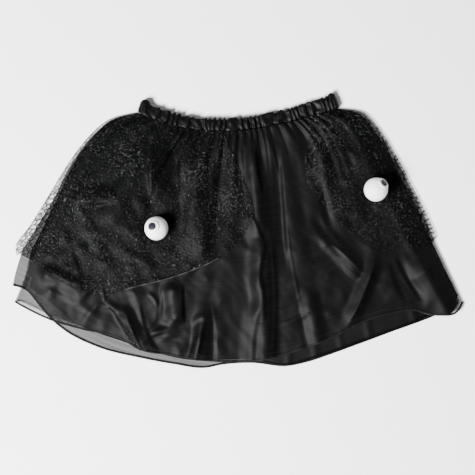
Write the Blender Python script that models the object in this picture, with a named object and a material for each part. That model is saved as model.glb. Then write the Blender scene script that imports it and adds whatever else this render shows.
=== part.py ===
"""A child's black tutu skirt, laid flat on its back with the front up.

+X runs to the right across the skirt, +Y from the hem to the waist and +Z up from the surface that
it lies on. The origin is on that surface, under the middle of the skirt.

The skirt has a gathered waistband, an organza skirt with a satin lining inside it, each cut as a
front and a back, two net overlays like petals over the front, and two ball eyes on the overlays.
Each cloth piece is a wall over a grid: u runs from the left side (0) to the right side (1), and v
from the waist (0) to the hem (1).
"""

import math

import bpy
import numpy as np
from mathutils import Vector
from mathutils.bvhtree import BVHTree

# Sizes are in millimetres, and MM turns them into metres.
MM = 0.001

WALL = 1.3
SEAM_GAP = 0.35
LAYER_GAP = 0.7
SIDE_INSET = 6.0
SIDE_RAMP = 20.0
LINING_BACK_INSET = 20.0
HEM_LOFT = 0.7

BAND_HEIGHT = 14.0
BAND_INNER = 2.2
BAND_OUTER = 2.6
BAND_FOOT = 1.5
BAND_RIM = 0.9
BAND_RUFFLE = 0.7
BAND_FRILL = 0.8
BAND_FRILL_LAG = 0.9
BAND_RUN_GAP = 0.8
BAND_GATHERS = 26
BAND_STEPS_A_GATHER = 4
BAND_TURN_STEPS = 5

FRONT_GATHER_COUNT = 14
BACK_GATHER_COUNT = 9

BALL_RADIUS = 14.5
BALL_SEAT_GAP = 0.4
EYE_RADIUS = 7.5
EYE_PLATE = 1.2
PUPIL_RADIUS = 4.8
PUPIL_THICK = 0.8
DOME_HEIGHT = 4.0
DOME_WALL = 0.8
ROUND_SIDES = 18


def table(names, *rows):
    """The rows as one array for each named column."""
    return dict(zip(names.split(), np.array(rows, float).T))


# The sections of the front and back. Each row is a line across the skirt: its ends, how far its
# middle hangs below the straight line between them, and how far that bow leans to the left.
FRONT = table(
    "v    left_x left_y right_x right_y sag lean",
    (0.00, -124, 147, 125, 152, 25, 0.6),
    (0.11, -157, 138, 155, 147, 50, 0.4),
    (0.23, -184, 113, 178, 122, 59, 0.2),
    (0.36, -207, 78, 197, 91, 63, 0.1),
    (0.49, -222, 47, 213, 59, 67, 0.0),
    (0.63, -244, 1, 231, 23, 69, 0.0),
    (0.77, -259, -31, 248, -18, 72, 0.0),
    (0.86, -264, -53, 259, -41, 73, 0.0),
    (1.00, -278, -89, 280, -87, 75, 0.0),
    (1.10, -288, -115, 290, -114, 76, 0.0),
)
BACK = table(
    "v    left_x left_y right_x right_y sag lean",
    (0.00, -124, 147, 125, 152, 25, 0.6),
    (0.11, -158, 137, 152, 146, 50, 0.4),
    (0.23, -188, 111, 174, 121, 59, 0.2),
    (0.36, -212, 76, 193, 89, 64, 0.1),
    (0.49, -228, 43, 208, 58, 68, 0.0),
    (0.63, -249, 8, 226, 22, 72, 0.0),
    (0.77, -269, -26, 245, -19, 79, 0.0),
    (0.86, -276, -47, 256, -42, 83, 0.0),
    (1.00, -281, -68, 277, -86, 88, 0.0),
    (1.10, -285, -83, 286, -114, 90, 0.0),
)

# How far down each cloth piece reaches, at each share of the way across it.
ORGANZA_FRONT_HEM = table(
    "across reach",
    (0.00, 1.00),
    (0.08, 1.00),
    (0.15, 0.985),
    (0.23, 0.97),
    (0.28, 0.995),
    (0.35, 0.995),
    (0.42, 1.00),
    (0.52, 1.00),
    (0.60, 0.985),
    (0.65, 0.97),
    (0.74, 0.945),
    (0.79, 0.93),
    (0.85, 0.935),
    (0.90, 0.955),
    (0.945, 1.01),
    (0.985, 1.03),
    (1.00, 1.01),
)
LINING_FRONT_HEM = table(
    "across reach",
    (0.00, 0.86),
    (0.05, 0.90),
    (0.11, 0.94),
    (0.18, 0.95),
    (0.25, 0.965),
    (0.31, 0.978),
    (0.42, 0.98),
    (0.52, 0.98),
    (0.60, 0.965),
    (0.65, 0.95),
    (0.74, 0.925),
    (0.79, 0.91),
    (0.85, 0.915),
    (0.90, 0.94),
    (0.945, 1.00),
    (0.985, 1.02),
    (1.00, 1.00),
)
ORGANZA_BACK_HEM = table(
    "across reach",
    (0.00, 1.00),
    (0.03, 0.97),
    (0.06, 1.02),
    (0.09, 1.07),
    (0.13, 1.10),
    (0.19, 1.10),
    (0.29, 1.065),
    (0.36, 1.05),
    (0.43, 1.04),
    (0.465, 1.015),
    (0.54, 1.00),
    (0.61, 1.025),
    (0.66, 1.018),
    (0.71, 1.005),
    (0.78, 0.994),
    (0.86, 0.994),
    (0.94, 1.008),
    (0.97, 1.012),
    (1.00, 0.985),
)
LINING_BACK_HEM = table(
    "across reach",
    (0.00, 0.93),
    (0.06, 0.96),
    (0.11, 1.01),
    (0.15, 1.01),
    (0.23, 1.00),
    (0.29, 1.005),
    (0.40, 1.005),
    (0.47, 0.985),
    (0.54, 0.98),
    (0.61, 1.018),
    (0.71, 1.003),
    (0.78, 0.992),
    (0.86, 0.990),
    (0.94, 0.998),
    (1.00, 0.995),
)
# The line along the petals' hems: how far down it lies, by the share of the front's columns. It
# runs on between the two petals, where nothing ends on it.
PETAL_LINE = table(
    "across reach",
    (0.00, 0.79),
    (0.08, 0.82),
    (0.15, 0.785),
    (0.18, 0.735),
    (0.22, 0.685),
    (0.26, 0.645),
    (0.30, 0.605),
    (0.35, 0.555),
    (0.40, 0.47),
    (0.43, 0.38),
    (0.55, 0.44),
    (0.70, 0.46),
    (0.80, 0.36),
    (0.85, 0.30),
    (0.87, 0.40),
    (0.89, 0.52),
    (0.91, 0.60),
    (0.93, 0.67),
    (0.96, 0.71),
    (1.00, 0.76),
)

# The petals' side edges: where the front's column under each lies, at each v.
PETAL_EDGES = table(
    "v    left_outer left_inner right_inner right_outer",
    (0.00, -0.010, 0.430, 0.850, 1.010),
    (0.08, -0.011, 0.474, 0.798, 1.008),
    (0.16, -0.012, 0.508, 0.755, 1.006),
    (0.24, -0.015, 0.535, 0.740, 1.005),
    (0.32, -0.018, 0.558, 0.735, 1.005),
    (0.45, -0.024, 0.562, 0.735, 1.006),
    (0.60, -0.036, 0.562, 0.735, 1.006),
    (0.71, -0.047, 0.562, 0.735, 1.008),
    (0.80, -0.032, 0.562, 0.735, 1.008),
    (1.10, -0.032, 0.562, 0.735, 1.008),
)

# How much higher the waistband's top edge stands than along its even middle.
BAND_TOP = table(
    "across rise",
    (0.00, 4.2),
    (0.02, 3.2),
    (0.04, 0.9),
    (0.08, 0.2),
    (0.14, 0.0),
    (0.68, 0.0),
    (0.74, 0.0),
    (0.80, 1.2),
    (0.87, 2.6),
    (0.93, 2.2),
    (0.96, 1.9),
    (0.98, 4.4),
    (1.00, 5.6),
)

# The air under the front, how high its gathers stand, and how high the back's gathers stand.
AIR_UNDER_FRONT = table(
    "v height",
    (0.00, 3.1),
    (0.10, 3.4),
    (0.40, 3.5),
    (0.70, 3.0),
    (0.90, 1.4),
    (1.00, 0.6),
    (1.10, 0.5),
)
FRONT_GATHERS = table(
    "v height",
    (0.00, 0.4),
    (0.05, 2.0),
    (0.15, 2.2),
    (0.30, 1.5),
    (0.50, 0.8),
    (1.00, 0.3),
    (1.10, 0.3),
)
BACK_GATHER_HEIGHTS = table(
    "v height",
    (0.00, 0.2),
    (0.05, 1.1),
    (0.15, 1.1),
    (0.30, 0.0),
    (0.50, 0.0),
    (1.10, 0.0),
)

# The largest folds of the front: the ends of each ridge, how far its middle bends to the left of
# the way that it runs, its half width, its height, and 1 where it runs out over the hem.
FOLDS = table(
    "x0    y0   x1    y1   bend half height open",
    (8, 121, 31, -24, 4, 17, 6, 0),
    (30, 10, 33, -166, 2, 20, 6, 1),
    (-59, 119, -44, -56, 0, 24, 6, 0),
    (52, 126, 90, -87, -4, 18, 2.5, 0),
    (82, -62, 101, -152, 0, 18, 4.5, 1),
    (-109, 113, -172, -6, 6, 26, 5.5, 0),
    (-212, 40, -105, 32, 6, 18, 4.5, 0),
    (-262, -48, -180, -92, 8, 16, 4, 0),
    (-148, -92, -113, -152, 0, 15, 5, 1),
    (-84, -60, -79, -120, 0, 15, 4.5, 0),
    (-39, -85, -47, -164, 0, 16, 4.5, 1),
    (143, 126, 195, 10, -6, 26, 3.5, 0),
    (108, 120, 106, 38, 0, 16, 3, 0),
    (98, 4, 160, -62, 0, 15, 4, 0),
    (173, -22, 131, -127, 4, 14, 5, 0),
    (220, -30, 270, -97, 0, 32, 6.5, 1),
)

# Where the balls sit, the way that each eye looks, how far its pupil lies off the eye's middle,
# and the dent that each ball presses into the cloth.
BALLS = {
    "left": {"x": -99.5, "y": 2.5, "looks": (-0.25, 0.11, 0.96), "pupil": (-0.9, 0.7)},
    "right": {"x": 169.5, "y": 50.0, "looks": (0.59, 0.52, 0.62), "pupil": (0.3, 0.4)},
}
DENT_DEPTH = 3.0
DENT_RADIUS = 14.0

# Columns and rows of the grids. The front's columns are counted up to the left petal's inner edge,
# from there to the right petal's, and on to the right side.
LEFT_COLUMNS = 26
MIDDLE_COLUMNS = 22
RIGHT_COLUMNS = 9
PETAL_ROWS = 10
ROWS_BELOW_PETALS = 8
LINING_ROWS_BELOW_PETALS = 5
BACK_COLUMNS = 36
BACK_ROWS = 7


def smooth(known, values, at):
    """A curve through a table's points: between two rows it is a cubic with their slopes."""
    slopes = np.gradient(values, known)
    at = np.clip(at, known[0], known[-1])
    row = np.clip(np.searchsorted(known, at, side="right") - 1, 0, len(known) - 2)
    step = known[row + 1] - known[row]
    t = (at - known[row]) / step
    near = (2 * t**3 - 3 * t**2 + 1) * values[row] + (t**3 - 2 * t**2 + t) * step * slopes[row]
    far = (3 * t**2 - 2 * t**3) * values[row + 1] + (t**3 - t**2) * step * slopes[row + 1]
    return near + far


def ease(share):
    """0 up to a share of 0, 1 from a share of 1, and a smooth step between."""
    share = np.clip(share, 0, 1)
    return share * share * (3 - 2 * share)


def uneven(u):
    """The share across with its pace varied, so that gathers aren't all one width."""
    return u + 0.015 * np.sin(4 * math.pi * u + 1) + 0.008 * np.sin(10 * math.pi * u)


def place(sections, u, v):
    """Where the cloth at u and v lies on the surface, as x and y."""
    at = {name: smooth(sections["v"], sections[name], v) for name in sections}
    inside = np.clip(u, 0, 1)
    bow = at["sag"] * 4 * inside * (1 - inside) * (1 + at["lean"] * (0.5 - inside))
    x = (1 - u) * at["left_x"] + u * at["right_x"]
    y = (1 - u) * at["left_y"] + u * at["right_y"] - bow
    return x, y


def width(sections, v):
    """The straight distance from side to side at v."""
    return smooth(sections["v"], sections["right_x"], v) - smooth(
        sections["v"], sections["left_x"], v
    )


def from_side(sections, u, v):
    """How far in from the nearer side edge a point lies, and less than 0 outside it."""
    return np.minimum(u, 1 - u) * width(sections, v)


def folds(x, y):
    """The height of the folds: each is a rounded ridge along its own line."""
    total = np.zeros_like(x)
    for x0, y0, x1, y1, bend, half, height, runs_out in zip(*FOLDS.values()):
        length = math.hypot(x1 - x0, y1 - y0)
        dx, dy = (x1 - x0) / length, (y1 - y0) / length
        share = ((x - x0) * dx + (y - y0) * dy) / length
        aside = (y - y0) * dx - (x - x0) * dy - bend * 4 * share * (1 - share)
        ridge = np.cos(math.pi / 2 * np.clip(aside / half, -1, 1)) ** 2
        fade = ease(share / 0.3) * (1 if runs_out else ease((1 - share) / 0.3))
        total = np.maximum(total, height * ridge * fade)
    return total


def dents(x, y):
    """The depth of the cloth's dents under the balls."""
    total = np.zeros_like(x)
    for ball in BALLS.values():
        far = (x - ball["x"]) ** 2 + (y - ball["y"]) ** 2
        total = total + DENT_DEPTH * np.exp(-far / (2 * DENT_RADIUS**2))
    return total


def front_rise(u, v, x, y, fold_share):
    """How far the front stands off its flat place: air, gathers and folds, less the dents."""
    inside = ease((from_side(FRONT, u, v) - SIDE_INSET) / SIDE_RAMP)
    air = smooth(AIR_UNDER_FRONT["v"], AIR_UNDER_FRONT["height"], v)
    gathers = smooth(FRONT_GATHERS["v"], FRONT_GATHERS["height"], v)
    gathers = gathers * (1 + np.cos(2 * math.pi * FRONT_GATHER_COUNT * uneven(u))) / 2
    return inside * (air + gathers + fold_share * folds(x, y) - dents(x, y))


def back_rise(u, v):
    """How far the back's gathers lift it off the surface, just below the waistband."""
    inside = ease((from_side(BACK, u, v) - SIDE_INSET) / SIDE_RAMP)
    height = smooth(BACK_GATHER_HEIGHTS["v"], BACK_GATHER_HEIGHTS["height"], v)
    wave = (1 + np.cos(2 * math.pi * BACK_GATHER_COUNT * uneven(u))) / 2
    return inside * np.maximum(height, 0) * wave


# The heights of the layers' undersides, from the surface up.
LINING_BACK_SEAT = WALL + LAYER_GAP
LINING_FRONT_SEAT = LINING_BACK_SEAT + WALL + SEAM_GAP
ORGANZA_FRONT_SEAT = LINING_FRONT_SEAT + WALL + LAYER_GAP
PETAL_SEAT = ORGANZA_FRONT_SEAT + WALL + LAYER_GAP
LINING_FOLD_SHARE = 0.45
PETAL_DROOP = 0.2


def organza_back_height(u, v, x, y):
    return back_rise(u, v)


def lining_back_height(u, v, x, y):
    return LINING_BACK_SEAT + back_rise(u, v)


def lining_front_height(u, v, x, y):
    return LINING_FRONT_SEAT + front_rise(u, v, x, y, LINING_FOLD_SHARE)


def organza_front_height(u, v, x, y):
    """The organza stands off the lining a little more toward the hem. At its sides it comes down
    onto the back organza, past the lining's edge."""
    climb = np.clip(from_side(FRONT, u, v) / SIDE_INSET, 0, 1)
    seat = (1 - climb) * (WALL + SEAM_GAP) + climb * (ORGANZA_FRONT_SEAT + HEM_LOFT * ease(v))
    return seat + front_rise(u, v, x, y, 1.0)


def petal_height(u, v, x, y):
    """A petal follows the organza under it, and comes down past the skirt's side."""
    side = from_side(FRONT, u, v)
    climb = np.clip(side / SIDE_INSET, 0, 1)
    on_edge = 2 * (WALL + SEAM_GAP) + PETAL_DROOP * np.minimum(side, 0)
    on_organza = PETAL_SEAT + HEM_LOFT * ease(v)
    seat = (1 - climb) * np.maximum(on_edge, WALL + SEAM_GAP) + climb * on_organza
    return seat + front_rise(u, v, x, y, 1.0)


def front_grid(hem, rows_below):
    """u and v over the front. Columns run along the petals' inner edges and a row along their hems,
    so that all the front's layers share their points down to there."""
    parts = (LEFT_COLUMNS, MIDDLE_COLUMNS, RIGHT_COLUMNS)
    across = np.linspace(0, 1, sum(parts) + 1)
    ends = np.cumsum((0, *parts)) / sum(parts)
    left_inner, right_inner = PETAL_EDGES["left_inner"], PETAL_EDGES["right_inner"]
    at_waist = np.interp(across, ends, (0, left_inner[0], right_inner[0], 1))
    petal_line = smooth(PETAL_LINE["across"], PETAL_LINE["reach"], at_waist)
    upper = np.linspace(0, 1, PETAL_ROWS + 1)[:, None] * petal_line
    at_hem = np.interp(across, ends, (0, left_inner[-1], right_inner[-1], 1))
    reach = smooth(hem["across"], hem["reach"], at_hem)
    below = np.linspace(0, 1, rows_below + 1)[1:, None]
    v = np.vstack([upper, petal_line + below * (reach - petal_line)])
    left = smooth(PETAL_EDGES["v"], left_inner, v)
    right = smooth(PETAL_EDGES["v"], right_inner, v)
    inset = SIDE_INSET / width(FRONT, v)
    share = across * np.ones_like(v)
    in_left = inset + share / ends[1] * (left - inset)
    in_middle = left + (share - ends[1]) / (ends[2] - ends[1]) * (right - left)
    in_right = right + (share - ends[2]) / (1 - ends[2]) * (1 - inset - right)
    u = np.where(share <= ends[1], in_left, np.where(share <= ends[2], in_middle, in_right))
    return u, v


def back_grid(hem, side_inset):
    """u and v over the back, from one side inset to the other."""
    across = np.linspace(0, 1, BACK_COLUMNS + 1)
    v = np.linspace(0, 1, BACK_ROWS + 1)[:, None] * smooth(hem["across"], hem["reach"], across)
    inset = side_inset / width(BACK, v)
    return inset + across * (1 - 2 * inset), v


def to_side_edges(grid):
    """The grid with one more column at each side edge."""
    u, v = grid
    edge = np.zeros((len(u), 1))
    return np.hstack([edge, u, edge + 1]), np.hstack([v[:, :1], v, v[:, -1:]])


def left_petal_grid(front):
    """The front's points under the left petal, and a column at its outer edge."""
    u, v = (part[: PETAL_ROWS + 1, : LEFT_COLUMNS + 2] for part in front)
    outer = smooth(PETAL_EDGES["v"], PETAL_EDGES["left_outer"], v[:, :1])
    return np.hstack([outer, u]), np.hstack([v[:, :1], v])


def right_petal_grid(front):
    """The front's points under the right petal, and a column at its outer edge."""
    u, v = (part[: PETAL_ROWS + 1, -RIGHT_COLUMNS - 2 :] for part in front)
    outer = smooth(PETAL_EDGES["v"], PETAL_EDGES["right_outer"], v[:, -1:])
    return np.hstack([u, outer]), np.hstack([v, v[:, -1:]])


def add_object(name, points, faces, material, round_shading=True):
    """A mesh object from points in millimetres."""
    mesh = bpy.data.meshes.new(name)
    mesh.from_pydata((np.asarray(points) * MM).tolist(), [], faces)
    mesh.materials.append(material)
    if round_shading:
        mesh.shade_smooth()
        mesh.set_sharp_from_angle(angle=math.radians(40))
    found = bpy.data.objects.new(name, mesh)
    bpy.context.scene.collection.objects.link(found)
    return found


def add_cloth(name, sections, grid, height, material):
    """A cloth wall: the grid's points at their heights, the same points a wall higher, and a rim."""
    u, v = grid
    x, y = place(sections, u, v)
    under = np.stack([x, y, height(u, v, x, y)], axis=-1)
    over = under + (0, 0, WALL)
    rows, columns = u.shape
    number = np.arange(rows * columns).reshape(rows, columns)
    upper = number + rows * columns
    faces = []
    for r in range(rows - 1):
        for c in range(columns - 1):
            a, b = number[r, c], number[r, c + 1]
            d, e = number[r + 1, c], number[r + 1, c + 1]
            for face in ((a, b, e), (a, e, d)):
                faces.append(face)
                faces.append(tuple(i + rows * columns for i in reversed(face)))
    rim = [(0, c) for c in range(columns)] + [(r, columns - 1) for r in range(1, rows)]
    rim += [(rows - 1, c) for c in range(columns - 2, -1, -1)]
    rim += [(r, 0) for r in range(rows - 2, 0, -1)]
    for a, b in zip(rim, rim[1:] + rim[:1]):
        faces.append((number[b], number[a], upper[a], upper[b]))
    points = np.concatenate([under.reshape(-1, 3), over.reshape(-1, 3)])
    return add_object(name, points, [tuple(map(int, f)) for f in faces], material)


def band_line(u):
    """The waist edge at u, and the way up from it in the plane of the skirt, at a right angle."""
    step = 0.002
    x, y = place(FRONT, u, np.zeros_like(u))
    x_before, y_before = place(FRONT, u - step, np.zeros_like(u))
    x_after, y_after = place(FRONT, u + step, np.zeros_like(u))
    dx, dy = x_after - x_before, y_after - y_before
    length = np.hypot(dx, dy)
    return np.stack([x, y], axis=-1), np.stack([-dy / length, dx / length], axis=-1)


def band_stations():
    """The waistband's loop: the front run from left to right, a turn at the right side, the back
    run and a turn at the left side. Each station has u and the turn's angle."""
    steps = BAND_GATHERS * BAND_STEPS_A_GATHER
    inset = (BAND_INNER + BAND_RUN_GAP / 2) / width(FRONT, 0)
    run = inset + (1 - 2 * inset) * np.linspace(0, 1, steps + 1)
    turn = np.linspace(0, math.pi, BAND_TURN_STEPS + 2)[1:-1]
    u = np.concatenate([run, np.full(len(turn), run[-1]), run[::-1], np.full(len(turn), run[0])])
    angle = np.concatenate([np.zeros(len(run)), turn, np.full(len(run), math.pi), math.pi + turn])
    return u, angle


def add_waistband(material):
    """The gathered casing as one closed loop, pressed flat. Its section is a rounded oblong whose
    outer face and top edge rise and fall with the gathers, and whose lower edge is even."""
    u, angle = band_stations()
    line, up = band_line(u)
    phase = 2 * math.pi * BAND_GATHERS * uneven(u)
    ruffle = np.cos(phase)
    frill = np.cos(phase + BAND_FRILL_LAG) * (1 + 0.5 * np.sin(9 * math.pi * u + 2))
    outer = BAND_OUTER + BAND_RUFFLE * ruffle
    raised = smooth(BAND_TOP["across"], BAND_TOP["rise"], u)
    top = BAND_HEIGHT / 2 + raised + BAND_FRILL * frill
    even = np.ones_like(u)
    low = -BAND_HEIGHT / 2 * even
    section = [
        (low, -BAND_FOOT * even),
        (low, BAND_FOOT * even),
        (low / 2, outer),
        (top / 2, outer),
        (top, BAND_RIM * even),
        (top, -BAND_RIM * even),
        (top / 2, -BAND_INNER * even),
        (low / 2, -BAND_INNER * even),
    ]
    turn_radius = BAND_INNER + BAND_RUN_GAP / 2
    middle = BAND_OUTER + BAND_RUFFLE + turn_radius
    along = np.stack([up[:, 1], -up[:, 0]], axis=-1)
    rings = []
    for rise, out in section:
        far = turn_radius + out
        flat = line + up * (SEAM_GAP + BAND_HEIGHT / 2 + rise)[:, None]
        flat = flat + along * (np.sin(angle) * far)[:, None]
        rings.append(np.column_stack([flat, middle + np.cos(angle) * far]))
    count, sides = len(u), len(section)
    points = np.stack(rings, axis=1).reshape(-1, 3)
    faces = []
    for i in range(count):
        for k in range(sides):
            j, m = (i + 1) % count, (k + 1) % sides
            faces.append((i * sides + k, j * sides + k, j * sides + m, i * sides + m))
    return add_object("waistband", points, faces, material)


def add_turned(name, profile, turn, centre, material):
    """A solid of revolution. The profile is (radius, height) pairs from the axis back to it."""
    points, rings = [], []
    for radius, height in profile:
        ring = []
        for k in range(ROUND_SIDES if radius > 0 else 1):
            angle = 2 * math.pi * k / ROUND_SIDES
            ring.append(len(points))
            local = Vector((radius * math.cos(angle), radius * math.sin(angle), height))
            points.append(tuple(turn @ local + centre))
        rings.append(ring)
    faces = []
    for a, b in zip(rings, rings[1:]):
        for k in range(ROUND_SIDES):
            m = (k + 1) % ROUND_SIDES
            if len(a) == 1:
                faces.append((a[0], b[m], b[k]))
            elif len(b) == 1:
                faces.append((a[k], a[m], b[0]))
            else:
                faces.append((a[k], a[m], b[m], b[k]))
    return add_object(name, points, faces, material)


def arc(radius_across, height, middle, start, end, steps):
    """Points of an arc or half oval about a height on the axis, by angle from straight down."""
    angles = np.radians(np.linspace(start, end, steps + 1))
    return [(radius_across * math.sin(a), middle - height * math.cos(a)) for a in angles]


def ball_centre(ball, petal):
    """The centre of a ball that just clears the petal's top, wherever it comes nearest."""
    points = [vertex.co / MM for vertex in petal.data.vertices]
    surface = BVHTree.FromPolygons(points, [face.vertices for face in petal.data.polygons])
    highest = 0.0
    for ring in range(12):
        for k in range(ROUND_SIDES):
            radius = BALL_RADIUS * ring / 12
            angle = 2 * math.pi * k / ROUND_SIDES
            x = ball["x"] + radius * math.cos(angle)
            y = ball["y"] + radius * math.sin(angle)
            hit = surface.ray_cast(Vector((x, y, 100)), Vector((0, 0, -1)))[0]
            if hit is not None:
                highest = max(highest, hit.z + math.sqrt(BALL_RADIUS**2 - radius**2))
    return Vector((ball["x"], ball["y"], highest + BALL_SEAT_GAP))


def add_eye(side, ball, petal, materials):
    """A ball with a flat seat, and on that the eye's plate, its pupil and its clear dome."""
    turn = Vector((0, 0, 1)).rotation_difference(Vector(ball["looks"])).to_matrix()
    centre = ball_centre(ball, petal)
    seat = math.sqrt(BALL_RADIUS**2 - EYE_RADIUS**2)
    last = 180 - math.degrees(math.asin(EYE_RADIUS / BALL_RADIUS))
    body = arc(BALL_RADIUS, BALL_RADIUS, 0, 0, last, 10)
    body[0] = (0, -BALL_RADIUS)
    add_turned(f"ball_{side}", [*body, (0, seat)], turn, centre, materials["ball"])

    plate = seat + SEAM_GAP
    face = plate + EYE_PLATE
    disc = [(0, plate), (EYE_RADIUS, plate), (EYE_RADIUS, face), (0, face)]
    add_turned(f"eye_plate_{side}", disc, turn, centre, materials["eye_plate"])

    pupil = face + SEAM_GAP
    lid = pupil + PUPIL_THICK
    disc = [(0, pupil), (PUPIL_RADIUS, pupil), (PUPIL_RADIUS, lid), (0, lid)]
    shift = turn @ Vector((*ball["pupil"], 0))
    add_turned(f"pupil_{side}", disc, turn, centre + shift, materials["pupil"])

    foot = face + SEAM_GAP
    inner = arc(EYE_RADIUS - DOME_WALL, DOME_HEIGHT - DOME_WALL, foot, 90, 180, 4)
    outer = arc(EYE_RADIUS, DOME_HEIGHT, foot, 90, 180, 4)
    inner[-1] = (0, foot + DOME_HEIGHT - DOME_WALL)
    outer[-1] = (0, foot + DOME_HEIGHT)
    shell = inner[::-1] + outer
    add_turned(f"eye_dome_{side}", shell, turn, centre, materials["eye_dome"])


def finish_of(name, colour, roughness, alpha=1.0):
    """A plain Principled material."""
    made = bpy.data.materials.new(name)
    made.use_nodes = True
    shader = made.node_tree.nodes["Principled BSDF"]
    shader.inputs["Base Color"].default_value = (*colour, 1)
    shader.inputs["Roughness"].default_value = roughness
    shader.inputs["Metallic"].default_value = 0.0
    shader.inputs["Alpha"].default_value = alpha
    return made


def all_materials():
    """The finishes, by the name of what wears them."""
    return {
        "waistband": finish_of("waistband_satin", (0.012, 0.012, 0.013), 0.55),
        "organza": finish_of("organza", (0.020, 0.020, 0.022), 0.45, 0.6),
        "lining": finish_of("lining_satin", (0.010, 0.010, 0.011), 0.40),
        "net": finish_of("glitter_net", (0.030, 0.030, 0.032), 0.50, 0.5),
        "ball": finish_of("ball_foam", (0.85, 0.84, 0.82), 0.80),
        "eye_plate": finish_of("eye_plate_plastic", (0.90, 0.90, 0.92), 0.30),
        "pupil": finish_of("pupil_plastic", (0.030, 0.030, 0.045), 0.35),
        "eye_dome": finish_of("eye_dome_plastic", (0.90, 0.90, 0.92), 0.10, 0.2),
    }


def build_skirt():
    """Builds every piece, from the surface up."""
    for old in list(bpy.data.objects):
        bpy.data.objects.remove(old, do_unlink=True)
    materials = all_materials()
    organza, lining, net = materials["organza"], materials["lining"], materials["net"]

    grid = to_side_edges(back_grid(ORGANZA_BACK_HEM, SIDE_INSET))
    add_cloth("organza_back", BACK, grid, organza_back_height, organza)
    grid = back_grid(LINING_BACK_HEM, LINING_BACK_INSET)
    add_cloth("lining_back", BACK, grid, lining_back_height, lining)
    add_waistband(materials["waistband"])
    grid = front_grid(LINING_FRONT_HEM, LINING_ROWS_BELOW_PETALS)
    add_cloth("lining_front", FRONT, grid, lining_front_height, lining)
    front = to_side_edges(front_grid(ORGANZA_FRONT_HEM, ROWS_BELOW_PETALS))
    add_cloth("organza_front", FRONT, front, organza_front_height, organza)

    petal = add_cloth("net_petal_left", FRONT, left_petal_grid(front), petal_height, net)
    add_eye("left", BALLS["left"], petal, materials)
    petal = add_cloth("net_petal_right", FRONT, right_petal_grid(front), petal_height, net)
    add_eye("right", BALLS["right"], petal, materials)


if __name__ == "__main__":
    build_skirt()
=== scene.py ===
"""The looks of a child's black tutu skirt that lies flat, with its front up.

Lengths in the tables are in millimetres, and MM turns them into metres. +X runs to the right
across the skirt, +Y from the hem to the waist and +Z up. Cloth is laid out over two shares: u from
the left side (0) to the right side (1), and v from the waist (0) to the hem (1).
"""

from __future__ import annotations

import logging
import math
from dataclasses import dataclass, field
from enum import Enum
from typing import Callable, Sequence

import bpy
import numpy as np
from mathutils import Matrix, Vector


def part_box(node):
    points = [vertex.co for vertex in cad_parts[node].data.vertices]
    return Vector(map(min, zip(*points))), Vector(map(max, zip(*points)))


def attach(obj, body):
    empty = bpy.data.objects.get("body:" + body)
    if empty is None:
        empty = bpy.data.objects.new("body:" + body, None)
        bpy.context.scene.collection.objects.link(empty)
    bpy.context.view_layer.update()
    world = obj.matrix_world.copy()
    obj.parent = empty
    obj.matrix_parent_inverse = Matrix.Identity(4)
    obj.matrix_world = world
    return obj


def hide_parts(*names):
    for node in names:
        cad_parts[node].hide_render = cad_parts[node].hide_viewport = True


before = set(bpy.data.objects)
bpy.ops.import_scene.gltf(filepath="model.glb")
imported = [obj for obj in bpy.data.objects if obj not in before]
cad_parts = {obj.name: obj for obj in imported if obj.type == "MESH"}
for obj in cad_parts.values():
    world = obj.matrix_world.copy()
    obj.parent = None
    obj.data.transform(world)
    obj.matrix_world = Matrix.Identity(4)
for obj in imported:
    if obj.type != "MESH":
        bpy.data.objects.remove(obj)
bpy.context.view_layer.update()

log = logging.getLogger("tutu_skirt")

MM = 0.001
# The solids' walls, and the gaps between them at a seam and between two layers.
WALL = 1.3
SEAM_GAP = 0.35
LAYER_GAP = 0.7
# How far in from the side a layer comes down to its edge, and over how much more its relief grows.
SIDE_INSET = 6.0
SIDE_RAMP = 20.0
LINING_BACK_INSET = 20.0
# How much further the layers stand apart at the hem than at the waist.
HEM_LOFT = 0.7
# How thick the cloth shells are.
CLOTH = 0.3

Array = np.ndarray
Row = tuple[float, ...]


class Side(Enum):
    """A side of the skirt, as it is seen from above."""

    LEFT = "left"
    RIGHT = "right"


def smooth(known: Array, values: Array, at: Array) -> Array:
    """A curve through points: between two of them it is a cubic with their slopes.

    Args:
        known: Where each point lies, rising.
        values: The value at each point.
        at: Where the curve is wanted.

    Returns:
        The curve's values, held level past both ends.
    """
    slopes = np.gradient(values, known)
    at = np.clip(at, known[0], known[-1])
    row = np.clip(np.searchsorted(known, at, side="right") - 1, 0, len(known) - 2)
    step = known[row + 1] - known[row]
    t = (at - known[row]) / step
    near = (2 * t**3 - 3 * t**2 + 1) * values[row] + (t**3 - 2 * t**2 + t) * step * slopes[row]
    far = (3 * t**2 - 2 * t**3) * values[row + 1] + (t**3 - t**2) * step * slopes[row + 1]
    return near + far


def ease(share: Array) -> Array:
    """0 up to a share of 0, 1 from a share of 1, and a smooth step between."""
    share = np.clip(share, 0, 1)
    return share * share * (3 - 2 * share)


# How far the gathers' pace wanders, as shares of the width: over half of it, and over a fifth.
SLOW_WANDER = 0.015
QUICK_WANDER = 0.008


def uneven(u: Array) -> Array:
    """The share across plus two sines of it, so that gathers aren't all one width."""
    return u + SLOW_WANDER * np.sin(4 * math.pi * u + 1) + QUICK_WANDER * np.sin(10 * math.pi * u)


def bell(x: Array, y: Array, spread: float) -> Array:
    """A bell round the origin: e to the minus distance squared over twice the spread squared."""
    return np.exp(-(x**2 + y**2) / (2 * spread**2))


@dataclass(frozen=True)
class Curve:
    """A named column against another, read as a smooth curve."""

    rows: tuple[Row, ...]

    def __call__(self, at: Array, column: int = 1) -> Array:
        """The smooth curve of a column of the rows at the given places."""
        known = np.array(self.rows, float)
        return smooth(known[:, 0], known[:, column], at)


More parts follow.
